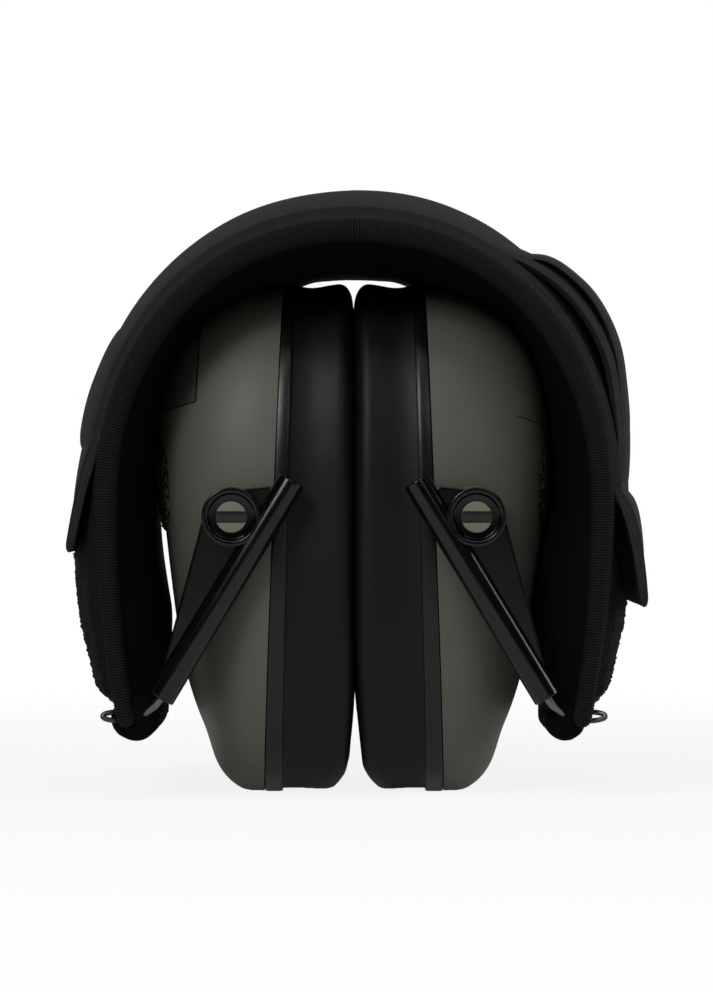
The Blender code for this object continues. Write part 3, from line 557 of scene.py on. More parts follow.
def slab(outline, near, far, bevel):
    """A flat (x, z) outline given thickness from one y to another, with its edges bevelled."""
    work = bmesh.new()
    face = work.faces.new([work.verts.new((x, near, z)) for x, z in outline])
    grown = bmesh.ops.extrude_face_region(work, geom=[face])["geom"]
    moved = [item for item in grown if isinstance(item, bmesh.types.BMVert)]
    bmesh.ops.translate(work, vec=(0, far - near, 0), verts=moved)
    bmesh.ops.recalc_face_normals(work, faces=work.faces)
    bmesh.ops.bevel(
        work, geom=work.edges[:], offset=bevel, segments=3, profile=0.5, affect="EDGES", material=-1
    )
    flats = [face for face in work.faces if len(face.verts) == len(outline)]
    bmesh.ops.inset_individual(work, faces=flats, thickness=bevel, use_even_offset=True)
    return work


def box(low, high):
    """A block between two corners."""
    corners = ((low[1], low[2]), (high[1], low[2]), (high[1], high[2]), (low[1], high[2]))
    rings = [[Vector((x, *corner)) for corner in corners] for x in (low[0], high[0])]
    return wrap(rings, capped=True)


def make(name, work, finish, nodes=(), body=None, side=None, sharp=40):
    """The object of a bmesh. It rides on a body, or, given a side, has its place baked into its mesh."""
    bmesh.ops.scale(work, vec=(MM, MM, MM), verts=work.verts)
    mesh = mesh_of(work, name)
    mesh.shade_smooth()
    mesh.set_sharp_from_angle(angle=radians(sharp))
    mesh.materials.append(FINISHES[finish].material)
    obj = added(name, mesh)
    if side:
        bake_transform(obj)
    elif body:
        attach(obj, body)
    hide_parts(*nodes)
    return obj


def carve(work, cutters, operation="DIFFERENCE"):
    """A bmesh cut by others, through Boolean modifiers."""
    meshes = [mesh_of(source, "carving") for source in (work, *cutters)]
    objects = [added("carving", mesh) for mesh in meshes]
    for cutter in objects[1:]:
        modifier = objects[0].modifiers.new("cut", "BOOLEAN")
        modifier.operation = operation
        modifier.solver = "EXACT"
        modifier.object = cutter
    graph = bpy.context.evaluated_depsgraph_get()
    result = bpy.data.meshes.new_from_object(objects[0].evaluated_get(graph))
    carved = bmesh.new()
    carved.from_mesh(result)
    for obj in objects:
        bpy.data.objects.remove(obj)
    for mesh in (*meshes, result):
        bpy.data.meshes.remove(mesh)
    return carved


def smooth_table(rows, at):
    """Reads (position, value) rows along a smooth curve through them."""
    if at <= rows[0][0]:
        return rows[0][1]
    if at >= rows[-1][0]:
        return rows[-1][1]
    k = bisect.bisect_right([row[0] for row in rows], at)
    (low, first), (high, second) = rows[k - 1], rows[k]
    slopes = []
    for before, after in ((rows[max(k - 2, 0)], rows[k]), (rows[k - 1], rows[min(k + 1, len(rows) - 1)])):
        slopes.append((after[1] - before[1]) / (after[0] - before[0]) * (high - low))
    t = (at - low) / (high - low)
    curve = (2 * t - 3) * t * t + 1
    bend = slopes[0] * t * (1 - t) ** 2 - slopes[1] * t * t * (1 - t)
    return first * curve + second * (1 - curve) + bend


def ease(low, high, at):
    """A smooth step from 0 at low to 1 at high."""
    t = min(1.0, max(0.0, (at - low) / (high - low)))
    return t * t * (3 - 2 * t)


def squircle(count, power):
    """Points round a unit circle whose sides are flattened by a power under 1."""
    points = []
    for i in range(count):
        turn = 2 * pi * (i + 0.5) / count
        c, s = cos(turn), sin(turn)
        points.append((abs(c) ** power * (1 if c > 0 else -1), abs(s) ** power * (1 if s > 0 else -1)))
    return points


def arc(at):
    """The height of a unit circle at a distance from its middle."""
    return sqrt(max(0.0, 1 - at * at))


def ripple(*spot):
    return noise.noise(Vector(spot))


# Headband


def arch_rows():
    """Rows of (length from the crown, outward, up) down one side of the band's line."""
    points = []
    for i in range(241):
        turn = pi / 2 * i / 240
        outward = ARCH_HALF_WIDTH * sin(turn) ** (2 / ARCH_ROUNDNESS)
        up = ARCH_CENTRE_Z + ARCH_RISE * max(cos(turn), 0.0) ** (2 / ARCH_ROUNDNESS)
        points.append((outward, up))
    for i in range(1, 121):
        t = i / 120
        up = ARCH_CENTRE_Z - (ARCH_CENTRE_Z - ARCH_FOOT_Z) * t
        points.append((ARCH_HALF_WIDTH - ARCH_DRAW_IN * t * t, up))
    length = 0.0
    rows = [(0.0, *points[0])]
    for (x0, z0), (x1, z1) in zip(points, points[1:]):
        length += sqrt((x1 - x0) ** 2 + (z1 - z0) ** 2)
        rows.append((length, x1, z1))
    return rows


ARCH = arch_rows()
ARCH_LENGTHS = [row[0] for row in ARCH]
ARCH_LENGTH = ARCH_LENGTHS[-1]


def arch_at(length):
    """(outward, up) at a length along the arch from the crown."""
    sign = -1 if length < 0 else 1
    length = min(abs(length), ARCH_LENGTH)
    k = min(max(1, bisect.bisect_left(ARCH_LENGTHS, length)), len(ARCH) - 1)
    (s0, x0, z0), (s1, x1, z1) = ARCH[k - 1], ARCH[k]
    t = (length - s0) / (s1 - s0)
    return sign * (x0 + (x1 - x0) * t), z0 + (z1 - z0) * t


def arch_length_at(up):
    for (s0, _, z0), (s1, _, z1) in zip(ARCH, ARCH[1:]):
        if z1 <= up:
            return s0 + (s1 - s0) * (z0 - up) / (z0 - z1)
    return ARCH_LENGTH


def arch_frame(length):
    """(outward, up) on the arch and the unit normal that points out of the band."""
    x0, z0 = arch_at(length - 0.5)
    x1, z1 = arch_at(min(length + 0.5, ARCH_LENGTH))
    run = Vector((x1 - x0, z1 - z0)).normalized()
    x, z = arch_at(length)
    return x, z, -run.y, run.x


def strip(side, stations, outline, unit=1.0):
    """A closed (offset, y) outline carried along the arch through stations, with UVs in units."""
    rings = []
    for length in stations:
        x, z, nx, nz = arch_frame(length)
        rings.append([Vector((side * (x + nx * r), y, z + nz * r)) for r, y in outline(length)])
    size = ((stations[-1] - stations[0]) / unit, 4 * BAND_HALF / unit)
    return wrap(rings, size, capped=True)


def spaced(start, end, step):
    count = max(2, round((end - start) / step))
    return [start + (end - start) * i / count for i in range(count + 1)]


ACROSS = [-1 + 2 * i / 44 for i in range(45)]
EDGED = [-1.0 + 0.0032 * i for i in range(29)]
COVER_ACROSS = EDGED + [-0.89 + 1.78 * i / 40 for i in range(41)] + [-t for t in EDGED[::-1]]


def cup_surface(side):
    """The outside of a folded cup, against which the lining's foam lies."""
    return BVHTree.FromBMesh(absorb(wrap(dome(side, 0.0)), rim_plate(side), cushion(side)))


def door_sweep(side):
    """The outside of the battery door all along its slide."""
    door = door_solid(side)
    sweep = bmesh.new()
    for _ in range(DOOR_STEPS):
        bmesh.ops.translate(door, vec=(0, DOOR_TRAVEL / DOOR_STEPS, 0), verts=door.verts)
        absorb(sweep, door.copy())
    return BVHTree.FromBMesh(sweep)


def lining_outline(side):
    """The pad under the lining: swollen inwards up to the cup, with a seam beside the crown pad."""
    half = BAND_HALF - 1.6
    seam = LINING_SEAMS[side]
    start, full, fading, end = PRESS_SPAN
    cups = [cup_surface(-1), cup_surface(1)]
    sweeps = [door_sweep(side)] if side < 0 else []

    def reach(trees, length, y):
        x, z, nx, nz = arch_frame(length)
        spot = Vector((side * x, y, z))
        inward = Vector((-side * nx, 0, -nz))
        return [tree.ray_cast(spot, inward)[3] or NO_HIT for tree in trees]

    def room(length, y):
        hits = reach(cups, length, y)
        for near in (-DOOR_MARGIN, 0, DOOR_MARGIN):
            for aside in (-DOOR_MARGIN, 0, DOOR_MARGIN):
                hits += reach(sweeps, length + near, y + aside)
        return min(hits)

    def outline(length):
        crown = smooth_table(LINING_CROWNS[side], length)
        groove = 0.8 * exp(-(((length - seam) / 0.8) ** 2))
        gap = LINING_GAP - LINING_PRESS * ease(start, full, length) * ease(end, fading, length)
        face = []
        for t in ACROSS:
            swell = (1 - abs(t) ** 5) ** 0.6
            crease = 0.3 * ripple(side * length * 0.07, t * 2.2, 5.0) * swell
            splay = REAR_SPLAY * ease(*FOOT_SPAN, length) * max(0.0, t)
            depth = max(0.0, (crown - groove) * swell + crease + 1.3 * (1 - t * t) - splay)
            depth = min(depth, room(length, half * t) - LINING_FACE - gap)
            face.append((-LINING_FACE - depth, half * t))
        back = [(-0.2, half * t) for t in ACROSS[::-4]]
        return face + back

    return outline


def cover_outline(side, foot):
    """The outer cloth: two piped seams along each edge, a soft crown and a flared tab at its foot."""
    half = BAND_HALF - 1.8

    def outline(length):
        near = max(0.0, 1 - (foot - length) / TAB_LENGTH)
        reach, power = TAB_FLARE[side]
        lift = reach * near**power
        tip = arc(max(0.0, 1 - (foot - length) / 2.2))
        crown = smooth_table(COVER_CROWNS, length) * (1 - TAB_FLATNESS * near)
        low, high = [], []
        for t in COVER_ACROSS:
            edge = (1 - abs(t)) * half
            swell = (1 - abs(t) ** 3) ** 0.75
            piping = sum(PIPING_RADIUS * arc((edge - at) / PIPING_RADIUS) for at in PIPING_AT)
            crease = 0.45 * ripple(side * length * 0.045, t * 2.6, 3.0) * swell
            top = 2.1 + crown * swell + piping + crease
            under = 1.3 + max(0.0, top - TAB_THICK - 1.3) * ease(0.0, 0.35, near)
            middle = (top + under) / 2
            high.append((lift + middle + (top - middle) * tip, half * t))
            low.append((lift + middle + (under - middle) * tip, half * t))
        return high + low[::-3]

    return outline


def strap_outline(rows, half, crown, thick):
    """A cloth strap that leaves the cover and comes back to it. Rows are (height, offset at its edge)."""
    table = [(arch_length_at(up), offset) for up, offset in rows]

    def outline(length):
        edge = smooth_table(table, length)
        top, under = [], []
        for t in ACROSS:
            swell = 1 - abs(t) ** 2.6
            crease = 0.35 * ripple(length * 0.05, t * 2.1, edge * 0.3) * swell
            middle = edge + crown * swell + crease
            plump = thick / 2 * (1 - t**12) ** 0.5
            top.append((middle + plump, half * t))
            under.append((middle - plump, half * t))
        return top + under[::-1]

    return outline


def panel_outline(side):
    """The loop pile panel, with tufts that break its outline."""
    half = BAND_HALF - 1.2
    tab = arch_length_at(COVER_FOOT_Z[side])
    foot = arch_length_at(PANEL_FOOT_Z)

    def outline(length):
        ending = arc(max(0.0, 1 - (foot - length) / 4.0))
        crown = PANEL_CROWN[side] * (1 - 0.3 * ease(foot - 22, foot, length))
        crown *= 0.4 + 0.6 * ease(tab - 14, tab, length)
        top = []
        for t in COVER_ACROSS:
            swell = (1 - abs(t) ** 3) ** 0.75
            tuft = 0.55 * ripple(length * 1.3, t * 52, side * 7.0)
            tuft += 0.35 * ripple(length * 2.9, t * 110, side)
            top.append((1.3 + (0.6 + crown * swell + tuft) * ending, half * t))
        return top + [(1.2, half * t) for t in COVER_ACROSS[::-3]]

    return outline


def binding_strip(side, end):
    """Ribbed tape folded over one edge of the band, rounded off at its foot."""
    foot = arch_length_at(BINDING_FOOT_Z)
    count = round(foot / RIB_PITCH) * RIB_STEPS
    shape = squircle(22, 0.92)

    def outline(length):
        rib = RIB_HEIGHT * (0.5 - 0.5 * cos(2 * pi * length / foot * count / RIB_STEPS))
        wander = 0.14 * ripple(side * length * 0.09, end * 4.0, 2.0)
        rounding = arc(max(0.0, 1 - (foot - length) / 2.0)) * (1 - 0.18 * ease(foot - 45, foot - 5, length))
        tall = (BINDING_HALF + rib + wander) * rounding
        deep = (BINDING_DEPTH + rib) * (0.3 + 0.7 * rounding)
        middle = end * (BAND_HALF - 1.9)
        return [(tall * c + wander, middle + end * deep * s) for c, s in shape]

    stations = [foot * i / count for i in range(count + 1)]
    return strip(side, stations, outline, RIB_STEPS * foot / count)


def hem_roll(side):
    """The lining rolled round the yoke's cross bar, with soft puckers."""
    middle_x, middle_z, size = HEM_ROLLS[side]
    rings = []
    for i in range(121):
        t = 2 * i / 120 - 1
        end = 1 - 0.5 * max(0.0, (abs(t) - 0.955) / 0.045) ** 3
        ring = []
        for k in range(40):
            turn = 2 * pi * k / 40
            pucker = 0.28 * ripple(t * 24, cos(turn) * 1.4, sin(turn) * 1.4 + side * 9)
            radius = (size + pucker) * end
            x = middle_x + REAR_SPLAY * max(0.0, t) + radius * cos(turn)
            z = middle_z + radius * sin(turn)
            ring.append(Vector((side * x, HEM_HALF * t, z)))
        rings.append(ring)
    return wrap(rings, (2 * HEM_HALF, HEM_FLAT), capped=True)


def build_headband(label, side):
    foot = arch_length_at(COVER_FOOT_Z[side])
    nodes = [f"{label}_pad", "crown_pad"]
    lining = strip(side, spaced(0, arch_length_at(LINING_FOOT_Z), 1.6), lining_outline(side))
    lining = make(f"{label}_lining", lining, "lining", nodes, side=label)
    nodes = [f"{label}_cover", "crown_cover"]
    stations = spaced(0, foot - 3, 1.4) + spaced(foot - 2.6, foot, 0.3)
    cover = strip(side, stations, cover_outline(side, foot))
    cover = make(f"{label}_outer_cover", cover, "cover", nodes, side=label)
    for name, (rows, half, crown, thick) in STRAPS[side].items():
        stations = spaced(arch_length_at(rows[0][0]), arch_length_at(rows[-1][0]), 0.8)
        strap = strip(side, stations, strap_outline(rows, half, crown, thick))
        strap = make(f"{label}_{name}", strap, "cover", side=label)
    nodes = [f"{label}_loop_panel"]
    panel = strip(side, spaced(foot - 16, arch_length_at(PANEL_FOOT_Z), 0.45), panel_outline(side))
    panel = make(f"{label}_loop_pile", panel, "pile", nodes, side=label, sharp=180)
    for name, end in ENDS.items():
        nodes = [f"{label}_binding_{name}", f"crown_binding_{name}"]
        tape = binding_strip(side, end)
        make(f"{label}_tape_{name}", tape, "tape", nodes, side=label, sharp=180)
    hem = hem_roll(side)
    hem = make(f"{label}_rolled_hem", hem, "lining", [f"{label}_hem"], side=label)
    build_springs(label, side)


def build_springs(label, side):
    """Spring wire inside the band: down the front, across above the hem and up the rear."""
    line = [arch_at(length) for length in spaced(0, arch_length_at(SPRING_FOOT_Z), 4)]
    path = [Vector((side * x, -SPRING_Y, z)) for x, z in line]
    path += [Vector((side * x, SPRING_Y, z)) for x, z in line[::-1]]
    nodes = [f"{label}_spring_frame", "crown_spring_front", "crown_spring_rear"]
    spring = wire(eased(path, 2.0, 2), WIRE_RADIUS, 10)
    make(f"{label}_band_spring", spring, "steel", nodes, side=label)


# Yokes


def tube_ends(side, end):
    """The middle of a slider tube's top and bottom."""
    y = end * TUBE_Y
    top = Vector((side * (PIVOT_X + TUBE_TOP[0]), y, PIVOT_Z + TUBE_TOP[1]))
    splay = TUBE_SPLAY if end > 0 else 0.0
    bottom = Vector((side * (PIVOT_X + TUBE_BOTTOM[0] + splay), y, PIVOT_Z + TUBE_BOTTOM[1]))
    return top, bottom


def build_yoke(label, side):
    """The wire through the hem into both arms, the arms and the hem's hooks."""
    legs = []
    for end in (-1, 1):
        top, bottom = tube_ends(side, end)
        up = (top - bottom).normalized()
        corner = Vector((side * HEM_X, end * LEG_Y, HEM_Z))
        legs.append([corner, bottom - up * 1.2, bottom + up * LEG_DEPTH])
    path = eased(legs[0][::-1] + legs[1], 1.8, 6)
    nodes = [f"{label}_yoke_wire"]
    make(f"{label}_yoke_rod", wire(path, WIRE_RADIUS, 20), "steel", nodes, f"{label}_yoke")
    for name, end in ENDS.items():
        build_arm(label, side, name, end)
        splay = REAR_SPLAY if end > 0 else 0.0
        points = [Vector((side * (x + splay), end * y, z)) for x, y, z in HOOK]
        hook = wire(eased(points, 1.0, 4), HOOK_RADIUS, 12)
        make(f"{label}_hem_hook_{name}", hook, "dark_steel", body=f"{label}_band")


def build_arm(label, side, name, end):
    """A slider arm: a tube on the wire, a round boss on the cup's pin and a web between them."""
    top, bottom = tube_ends(side, end)
    length = (top - bottom).length
    tube = turned(bar(0, length, TUBE_RADIUS), bottom, top - bottom, 0.4, 40)
    seat = Vector((side * PIVOT_X, end * (BOSS_FACE_Y + 0.25), PIVOT_Z))
    floor = BOSS_THICK - RECESS_DEPTH
    profile = [(0, 0), (0, BOSS_RADIUS), (BOSS_THICK, BOSS_RADIUS), (BOSS_THICK, RECESS_RADIUS)]
    boss = turned(profile + [(floor, RECESS_RADIUS - 0.15), (floor, 0)], seat, (0, end, 0), 0.4, 64)
    near = end * (BOSS_FACE_Y + 1.0)
    outline = [(side * (PIVOT_X + x), PIVOT_Z + z) for x, z in WEB_OUTLINE]
    web = slab(outline, near, near + end * 2.4, 0.3)
    nodes = [f"{label}_arm_{name}"]
    make(f"{label}_slider_{name}", absorb(tube, boss, web), "arm", nodes, f"{label}_arms")


# Cups


def cup_point(side, inward, y, up, lowest=-1.0):
    """A place in a cup's own axes, from its pivot, in the frame of the folded model."""
    x = PIVOT_X - inward * cos(LEAN) - up * sin(LEAN)
    z = PIVOT_Z + up * cos(LEAN) - inward * sin(LEAN)
    return Vector((side * x, y, max(z, lowest)))


def cup_axis(side):
    return cup_point(side, 1, 0, 0) - cup_point(side, 0, 0, 0)


def oval(half_depth, half_height, count):
    return [(half_depth * c, half_height * s) for c, s in squircle(count, 2 / CUP_ROUNDNESS)]


def dome_bulge(up, share, wall):
    """How far the shell stands out of its seam, at a share of the way from tip to edge."""
    shoulder = max(0.0, up - SHOULDER_START)
    foot = max(0.0, -up - FOOT_START)
    bulge = SHELL_BULGE + SHELL_RISE * up - SHOULDER_FALL * shoulder**2 - FOOT_FALL * foot**2
    start, end, most = FOOT_CORNER
    corner = most * ease(start, end, up) * sqrt(max(0.0, 1 - share**14))
    return (bulge - wall) * sqrt(max(0.0, 1 - share**4)) + corner


def dome(side, wall):
    """Rings of the shell's outer form, or of its hollow when wall is its thickness, from seam to tip."""
    outline = oval(CUP_HALF_DEPTH - wall, CUP_HALF_HEIGHT - wall, 128)
    rings = []
    for step in range(31):
        share = sqrt(max(0.0, cos(pi / 2 * step / 30)))
        ring = []
        for y, up in outline:
            inward = SEAM_INWARD - dome_bulge(up * share, share, wall)
            ring.append(cup_point(side, inward, y * share, up * share - CUP_DROP, 0.0))
        rings.append(ring)
    return rings


def shell_solid(side):
    return wrap(dome(side, SHELL_WALL)[::-1] + dome(side, 0.0))


def corner_room(side, inner, foot, slope, tall):
    """A block at a shell's upper corner, whose foot slopes down outwards."""
    rings = []
    for inward in (inner - ROOM_LENGTH, inner):
        low = foot + slope * (inward - inner)
        high = low + tall
        corners = ((-ROOM_HALF, low), (ROOM_HALF, low), (ROOM_HALF, high), (-ROOM_HALF, high))
        rings.append([cup_point(side, inward, y, up) for y, up in corners])
    return wrap(rings, capped=True)


def door_corner(side, gap):
    """The corner that the battery door takes up, less a gap round it."""
    return corner_room(side, DOOR_INWARD - gap, DOOR_UP + gap * (1 - DOOR_SLOPE), DOOR_SLOPE, ROOM_HALF)


def door_solid(side):
    """The shell's corner that slides off the batteries, notched where it passes the rear arm."""
    door = carve(shell_solid(side), [door_corner(side, DOOR_GAP)], "INTERSECT")
    return carve(door, [box(*DOOR_NOTCH)])


def shell_face(y, up):
    """How far inward the shell's outside lies at a place on the cup."""
    up += CUP_DROP
    power = CUP_ROUNDNESS
    share = (abs(y / CUP_HALF_DEPTH) ** power + abs(up / CUP_HALF_HEIGHT) ** power) ** (1 / power)
    return SEAM_INWARD - dome_bulge(up, share, 0)


def windscreen(side):
    """The foam over the microphone, pitted all over."""
    outline = squircle(132, 0.5)
    rings = []
    stations = [(i / 26, 0.0) for i in range(25)]
    stations += [(0.955, 0.12), (0.985, 0.4), (1.0, 0.9), (1.0, 2.4)]
    for share, sink in stations:
        ring = []
        for c, s in outline:
            y = MIC_Y + MIC_HALF_WIDTH * c * share
            up = MIC_RISE + MIC_HALF_HEIGHT * s * share
            cell = noise.voronoi(Vector((y * 1.15, up * 1.15, side * 4.0)))[0]
            pit = 0.75 * (cell[1] - cell[0]) - 0.3
            swell = MIC_SWELL * (1 - share**8)
            inward = shell_face(y, up) - 0.1 - swell - min(0.35, pit) * (1 - min(1.0, sink)) + sink
            ring.append(cup_point(side, inward, y, up))
        rings.append(ring)
    return wrap(rings, capped=True)


def ring_rows(side, rows, count):
    """Rings round the cup for a closed section whose rows are (inward, half depth, half height)."""
    ovals = [oval(half_depth, half_height, count) for _, half_depth, half_height in rows]
    rings = []
    for i in range(count):
        ring = []
        for (inward, _, _), outline in zip(rows, ovals):
            y, up = outline[i]
            taper = inward - PLATE_TAPER * up * (inward - PLATE_OUTER) / PLATE_THICK
            ring.append(cup_point(side, taper, y, up - CUP_DROP, 0.0))
        rings.append(ring)
    return rings


def rim_plate(side):
    """The black rim that joins shell and cushion, bevelled towards the cushion."""
    depth, height = CUP_HALF_DEPTH + PLATE_PROUD, CUP_HALF_HEIGHT + PLATE_PROUD
    inner = PLATE_OUTER + PLATE_THICK
    section = [
        (PLATE_OUTER, 0.6), (PLATE_OUTER + 0.12, 0.12), (PLATE_OUTER + 0.5, 0.0), (inner - 0.9, 0.0),
        (inner - 0.5, 0.05), (inner - 0.12, 0.2), (inner, 0.5),
    ]
    rows = [(inward, depth - inset, height - inset) for inward, inset in section]
    rows += [(inward, EAR_HALF_DEPTH + 1, EAR_HALF_HEIGHT + 1) for inward in (inner, PLATE_OUTER)]
    return wrap(ring_rows(side, rows, 144), loop=True)


def cushion(side):
    """A vinyl ring stuffed with foam: a waisted outer wall, rounded lips and faint creases."""
    base = PLATE_OUTER + PLATE_THICK - CUSHION_SINK
    outer_depth, outer_height = CUP_HALF_DEPTH - 0.2, CUP_HALF_HEIGHT + 0.6
    span = outer_depth - EAR_HALF_DEPTH
    taller = (outer_height - EAR_HALF_HEIGHT) / span
    section = eased([Vector((rise, inset)) for rise, inset in CUSHION_WALL], 1.0, 3)
    section += [Vector((rise, span - inset)) for rise, inset in CUSHION_LIP]
    count = 180
    columns = [oval(outer_depth - inset, outer_height - inset * taller, count) for _, inset in section]
    rings = []
    for i in range(count):
        ring = []
        for (rise, _), outline in zip(section, columns):
            y, up = outline[i]
            height = up - CUP_DROP
            z = PIVOT_Z + height
            low, foot = (max(0.0, 1 - z / top) for top, _ in (CUSHION_LOW, CUSHION_FOOT))
            meet = 0.4 * ripple(y * 0.07, z * 0.03, 1.7) + 0.5 * low
            gap = 0.02 + CUSHION_LOW[1] * low**2 + CUSHION_FOOT[1] * foot**2 + side * meet
            face = (PIVOT_X - gap) / cos(LEAN) - height * tan(LEAN)
            crease = ripple(y * 0.05, up * 0.09, side * 6.0 + rise)
            crease += 0.5 * ripple(y * 0.2, up * 0.16, rise * 2)
            seat = base - PLATE_TAPER * up
            inward = seat + rise * (face - seat)
            puff = 1 + 0.004 * crease * rise * (1 - rise) * 4
            ring.append(cup_point(side, inward, y * puff, height, CUSHION_LOWEST))
        rings.append(ring)
    return wrap(rings, (240.0, 60.0), loop=True)


def absorber_slab(side):
    """The foam across the cup behind the ear opening, softly quilted."""
    outline = oval(CUP_HALF_DEPTH - SHELL_WALL - 5.4, CUP_HALF_HEIGHT - SHELL_WALL - 2.6, 96)
    rings = []
    stations = [(i / 30, 0.0) for i in range(30)] + [(0.99, 0.5), (1.0, 1.2), (1.0, 3.4), (0.0, 3.5)]
    for share, sink in stations:
        ring = []
        for y, up in outline:
            wave = 0.35 * sin(y * share * 0.9) * sin(up * share * 0.9) if sink == 0 else 0.0
            ring.append(cup_point(side, SEAM_INWARD - 0.4 - sink + wave, y * share, up * share - CUP_DROP))
        rings.append(ring)
    return wrap(rings)


def pin_head(side, end):
    """A slotted pivot pin in the arm's recess."""
    face = Vector((side * PIVOT_X, end * BOSS_FACE_Y, PIVOT_Z))
    floor = BOSS_THICK - RECESS_DEPTH + 0.25
    top = floor + PIN_HEAD
    profile = [(-6, 0), (-6, PIN_STEM), (floor, PIN_STEM), (floor, PIN_RADIUS), (top, PIN_RADIUS), (top, 0)]
    pin = turned(profile, face, (0, end, 0), 0.3, 48)
    slot_y = end * (BOSS_FACE_Y + top - 1.2)
    low, high = sorted((slot_y, slot_y + end * 4))
    x = side * PIVOT_X
    return carve(pin, [box((x - 6, low, PIVOT_Z - PIN_SLOT), (x + 6, high, PIVOT_Z + PIN_SLOT))])


def volume_knob(side):
    """A grip knob in its round seat, ribbed round its edge, with an index groove."""
    axis = -cup_axis(side)
    seat = cup_point(side, KNOB_SEAT - 0.3, KNOB_Y, KNOB_UP)
    across = Vector((0, 1, 0))
    other = axis.cross(across).normalized()
    rings = []
    for along, share in KNOB_PROFILE:
        ring = []
        for k in range(192):
            turn = 2 * pi * k / 192
            grip = KNOB_RIB_DEPTH * (0.5 + 0.5 * cos(turn * KNOB_RIBS)) if share > 0.9 else 0.0
            radius = KNOB_RADIUS * share - grip
            mark = KNOB_MARK if abs(turn - pi) < 0.06 and along > 3 else 0.0
            offset = across * cos(turn) + other * sin(turn)
            ring.append(seat + axis * (along - mark) + offset * max(0.0, radius))
        rings.append(ring)
    shaft = turned(bar(-3.4, 0.4, 2.0), seat, axis, 0.1, 24)
    return absorb(wrap(rings), shaft)


def build_cup(label, side):
    body = f"{label}_cup"
    cutters = []
    if side < 0:
        cutters.append(door_corner(side, 0.0))
        door, nodes = door_solid(side), ["battery_door"]
        make("battery_cover", door, "door", nodes, "battery_door", sharp=32)
    else:
        seat = cup_point(side, KNOB_SEAT, KNOB_Y, KNOB_UP)
        cutters.append(turned(KNOB_POCKET, seat, -cup_axis(side), 0.05, 72))
        cutters.append(corner_room(side, *PARTING, PARTING_WIDTH))
        knob, nodes = volume_knob(side), ["volume_knob"]
        make("volume_grip", knob, "arm", nodes, "volume_knob", sharp=30)
    shell = carve(shell_solid(side), cutters)
    bosses = []
    length, radius = CUP_BOSS
    for end in (-1, 1):
        face = Vector((side * PIVOT_X, end * (BOSS_FACE_Y - length), PIVOT_Z))
        bosses.append(turned(bar(0, length, radius), face, (0, end, 0), 0.3, 64))
    make(f"{label}_cup_shell", absorb(shell, *bosses), "olive", [f"{label}_shell"], body, sharp=32)
    make(f"{label}_rim", rim_plate(side), "rim", [f"{label}_base_plate"], body, sharp=35)
    nodes = [f"{label}_cushion"]
    ring = make(f"{label}_ear_cushion", cushion(side), "vinyl", nodes, body, sharp=60)
    nodes = [f"{label}_mic_foam"]
    foam = make(f"{label}_windscreen", windscreen(side), "windscreen", nodes, body, sharp=180)
    nodes = [f"{label}_absorber"]
    slab_foam = make(f"{label}_sound_foam", absorber_slab(side), "absorber", nodes, body)
    for name, end in ENDS.items():
        nodes = [f"{label}_pin_{name}"]
        make(f"{label}_pivot_{name}", pin_head(side, end), "pin", nodes, body, sharp=30)


# Stage


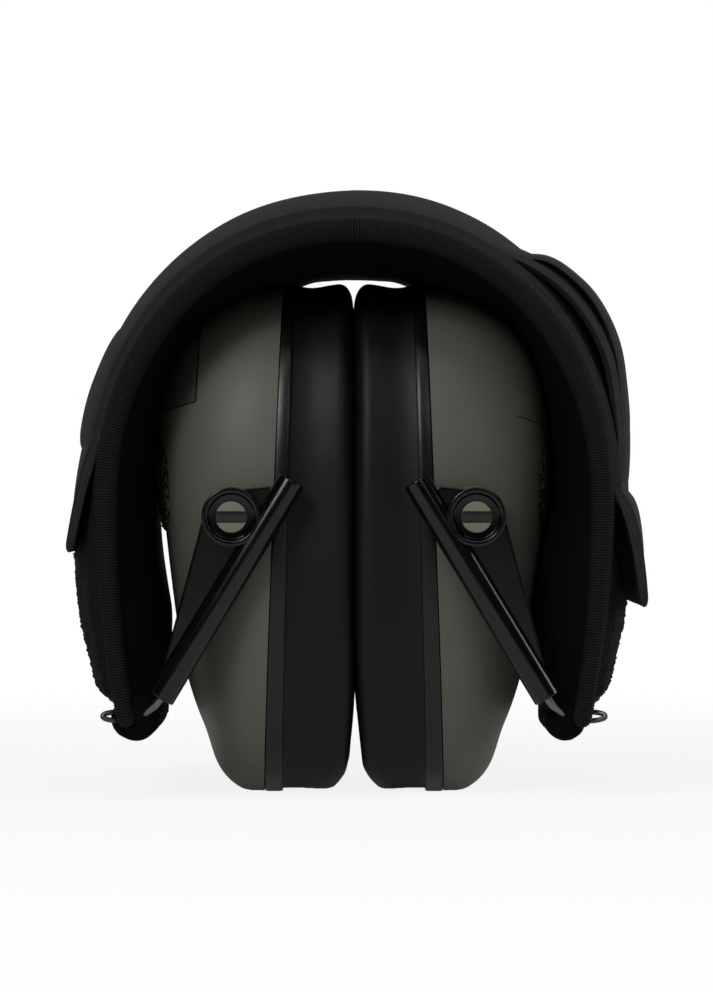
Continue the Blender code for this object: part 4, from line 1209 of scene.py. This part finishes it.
def build_stage():
    """A white floor and sky, four soft lamps and the camera."""
    scene = bpy.context.scene
    work = bmesh.new()
    bmesh.ops.create_grid(work, x_segments=8, y_segments=8, size=FLOOR_SIZE)
    mesh = mesh_of(work, "floor")
    floor = added("floor", mesh)
    paper = Finish("floor_paper", Roughness=0.9)
    where = paper.place()
    fibre = paper.noise(where, 400)
    paper.dress(Base_Color=paper.mix(fibre, (0.86,) * 3, (0.9,) * 3))
    white = paper.node("ShaderNodeEmission", {}, {"Color": (1, 1, 1, 1), "Strength": 1.0})
    away = paper.node("ShaderNodeVectorMath", {"operation": "LENGTH"}, {0: where}, output="Value")
    share = paper.span(away, *FLOOR_FADE) * (1 - FLOOR_WHITE) + FLOOR_WHITE
    seen = paper.math("MAXIMUM", paper.ray("Camera"), paper.ray("Glossy") * 0.2)
    seen = paper.math("MAXIMUM", seen, paper.ray("Transmission"))
    lit = Value(paper, paper.shader.outputs[0])
    blend = paper.node("ShaderNodeMixShader", {}, {0: seen * share, 1: lit, 2: white})
    paper.put(paper.tree.nodes["Material Output"], {"Surface": blend})
    mesh.materials.append(paper.material)

    scene.world = bpy.data.worlds.new("studio")
    scene.world.use_nodes = True
    sky = Nodes(scene.world.node_tree)
    where = sky.node("ShaderNodeTexCoord", {}, {}, output="Generated")
    behind = sky.span(sky.split(where, 1), *BACKDROP)
    mirrored = sky.math("MAXIMUM", sky.ray("Glossy"), sky.ray("Transmission"))
    level = mirrored * behind + (1 - mirrored) * AMBIENT
    level = sky.math("MAXIMUM", level, sky.ray("Camera"))
    sky.put(sky.tree.nodes["Background"], {"Color": (1, 1, 1, 1), "Strength": level})

    for name, (spot, wide, tall, power) in LAMPS.items():
        lamp = bpy.data.lights.new(name, "AREA")
        lamp.shape = "RECTANGLE"
        lamp.size = wide
        lamp.size_y = tall
        lamp.energy = power
        holder = added(name, lamp)
        holder.location = spot
        aim = Vector(LAMP_TARGET) - Vector(spot)
        holder.rotation_euler = aim.to_track_quat("-Z", "Y").to_euler()

    camera = bpy.data.cameras.new("camera")
    camera.sensor_fit = "VERTICAL"
    camera.sensor_height = SENSOR
    camera.lens = SENSOR * FOCAL_PIXELS / IMAGE_HEIGHT
    holder = added("camera", camera)
    holder.location = CAMERA_AT
    holder.rotation_euler = (radians(90), 0, 0)
    scene.camera = holder
    scene.view_settings.view_transform = "Standard"


def dress_kept_nodes():
    """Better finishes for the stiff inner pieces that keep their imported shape."""
    kept = {
        "steel": (
            "left_mic_capsule", "right_mic_capsule", "battery_contact_front", "battery_contact_rear",
            "volume_control",
        ),
        "rim": ("left_speaker", "right_speaker", "battery_tray"),
        "cell": ("battery_upper", "battery_lower"),
        "board": ("circuit_board",),
    }
    for finish, names in kept.items():
        for name in names:
            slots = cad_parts[name].data.materials
            slots.clear()
            slots.append(FINISHES[finish].material)


build_stage()
for label, side in SIDES.items():
    build_headband(label, side)
    build_yoke(label, side)
    build_cup(label, side)
dress_kept_nodes()
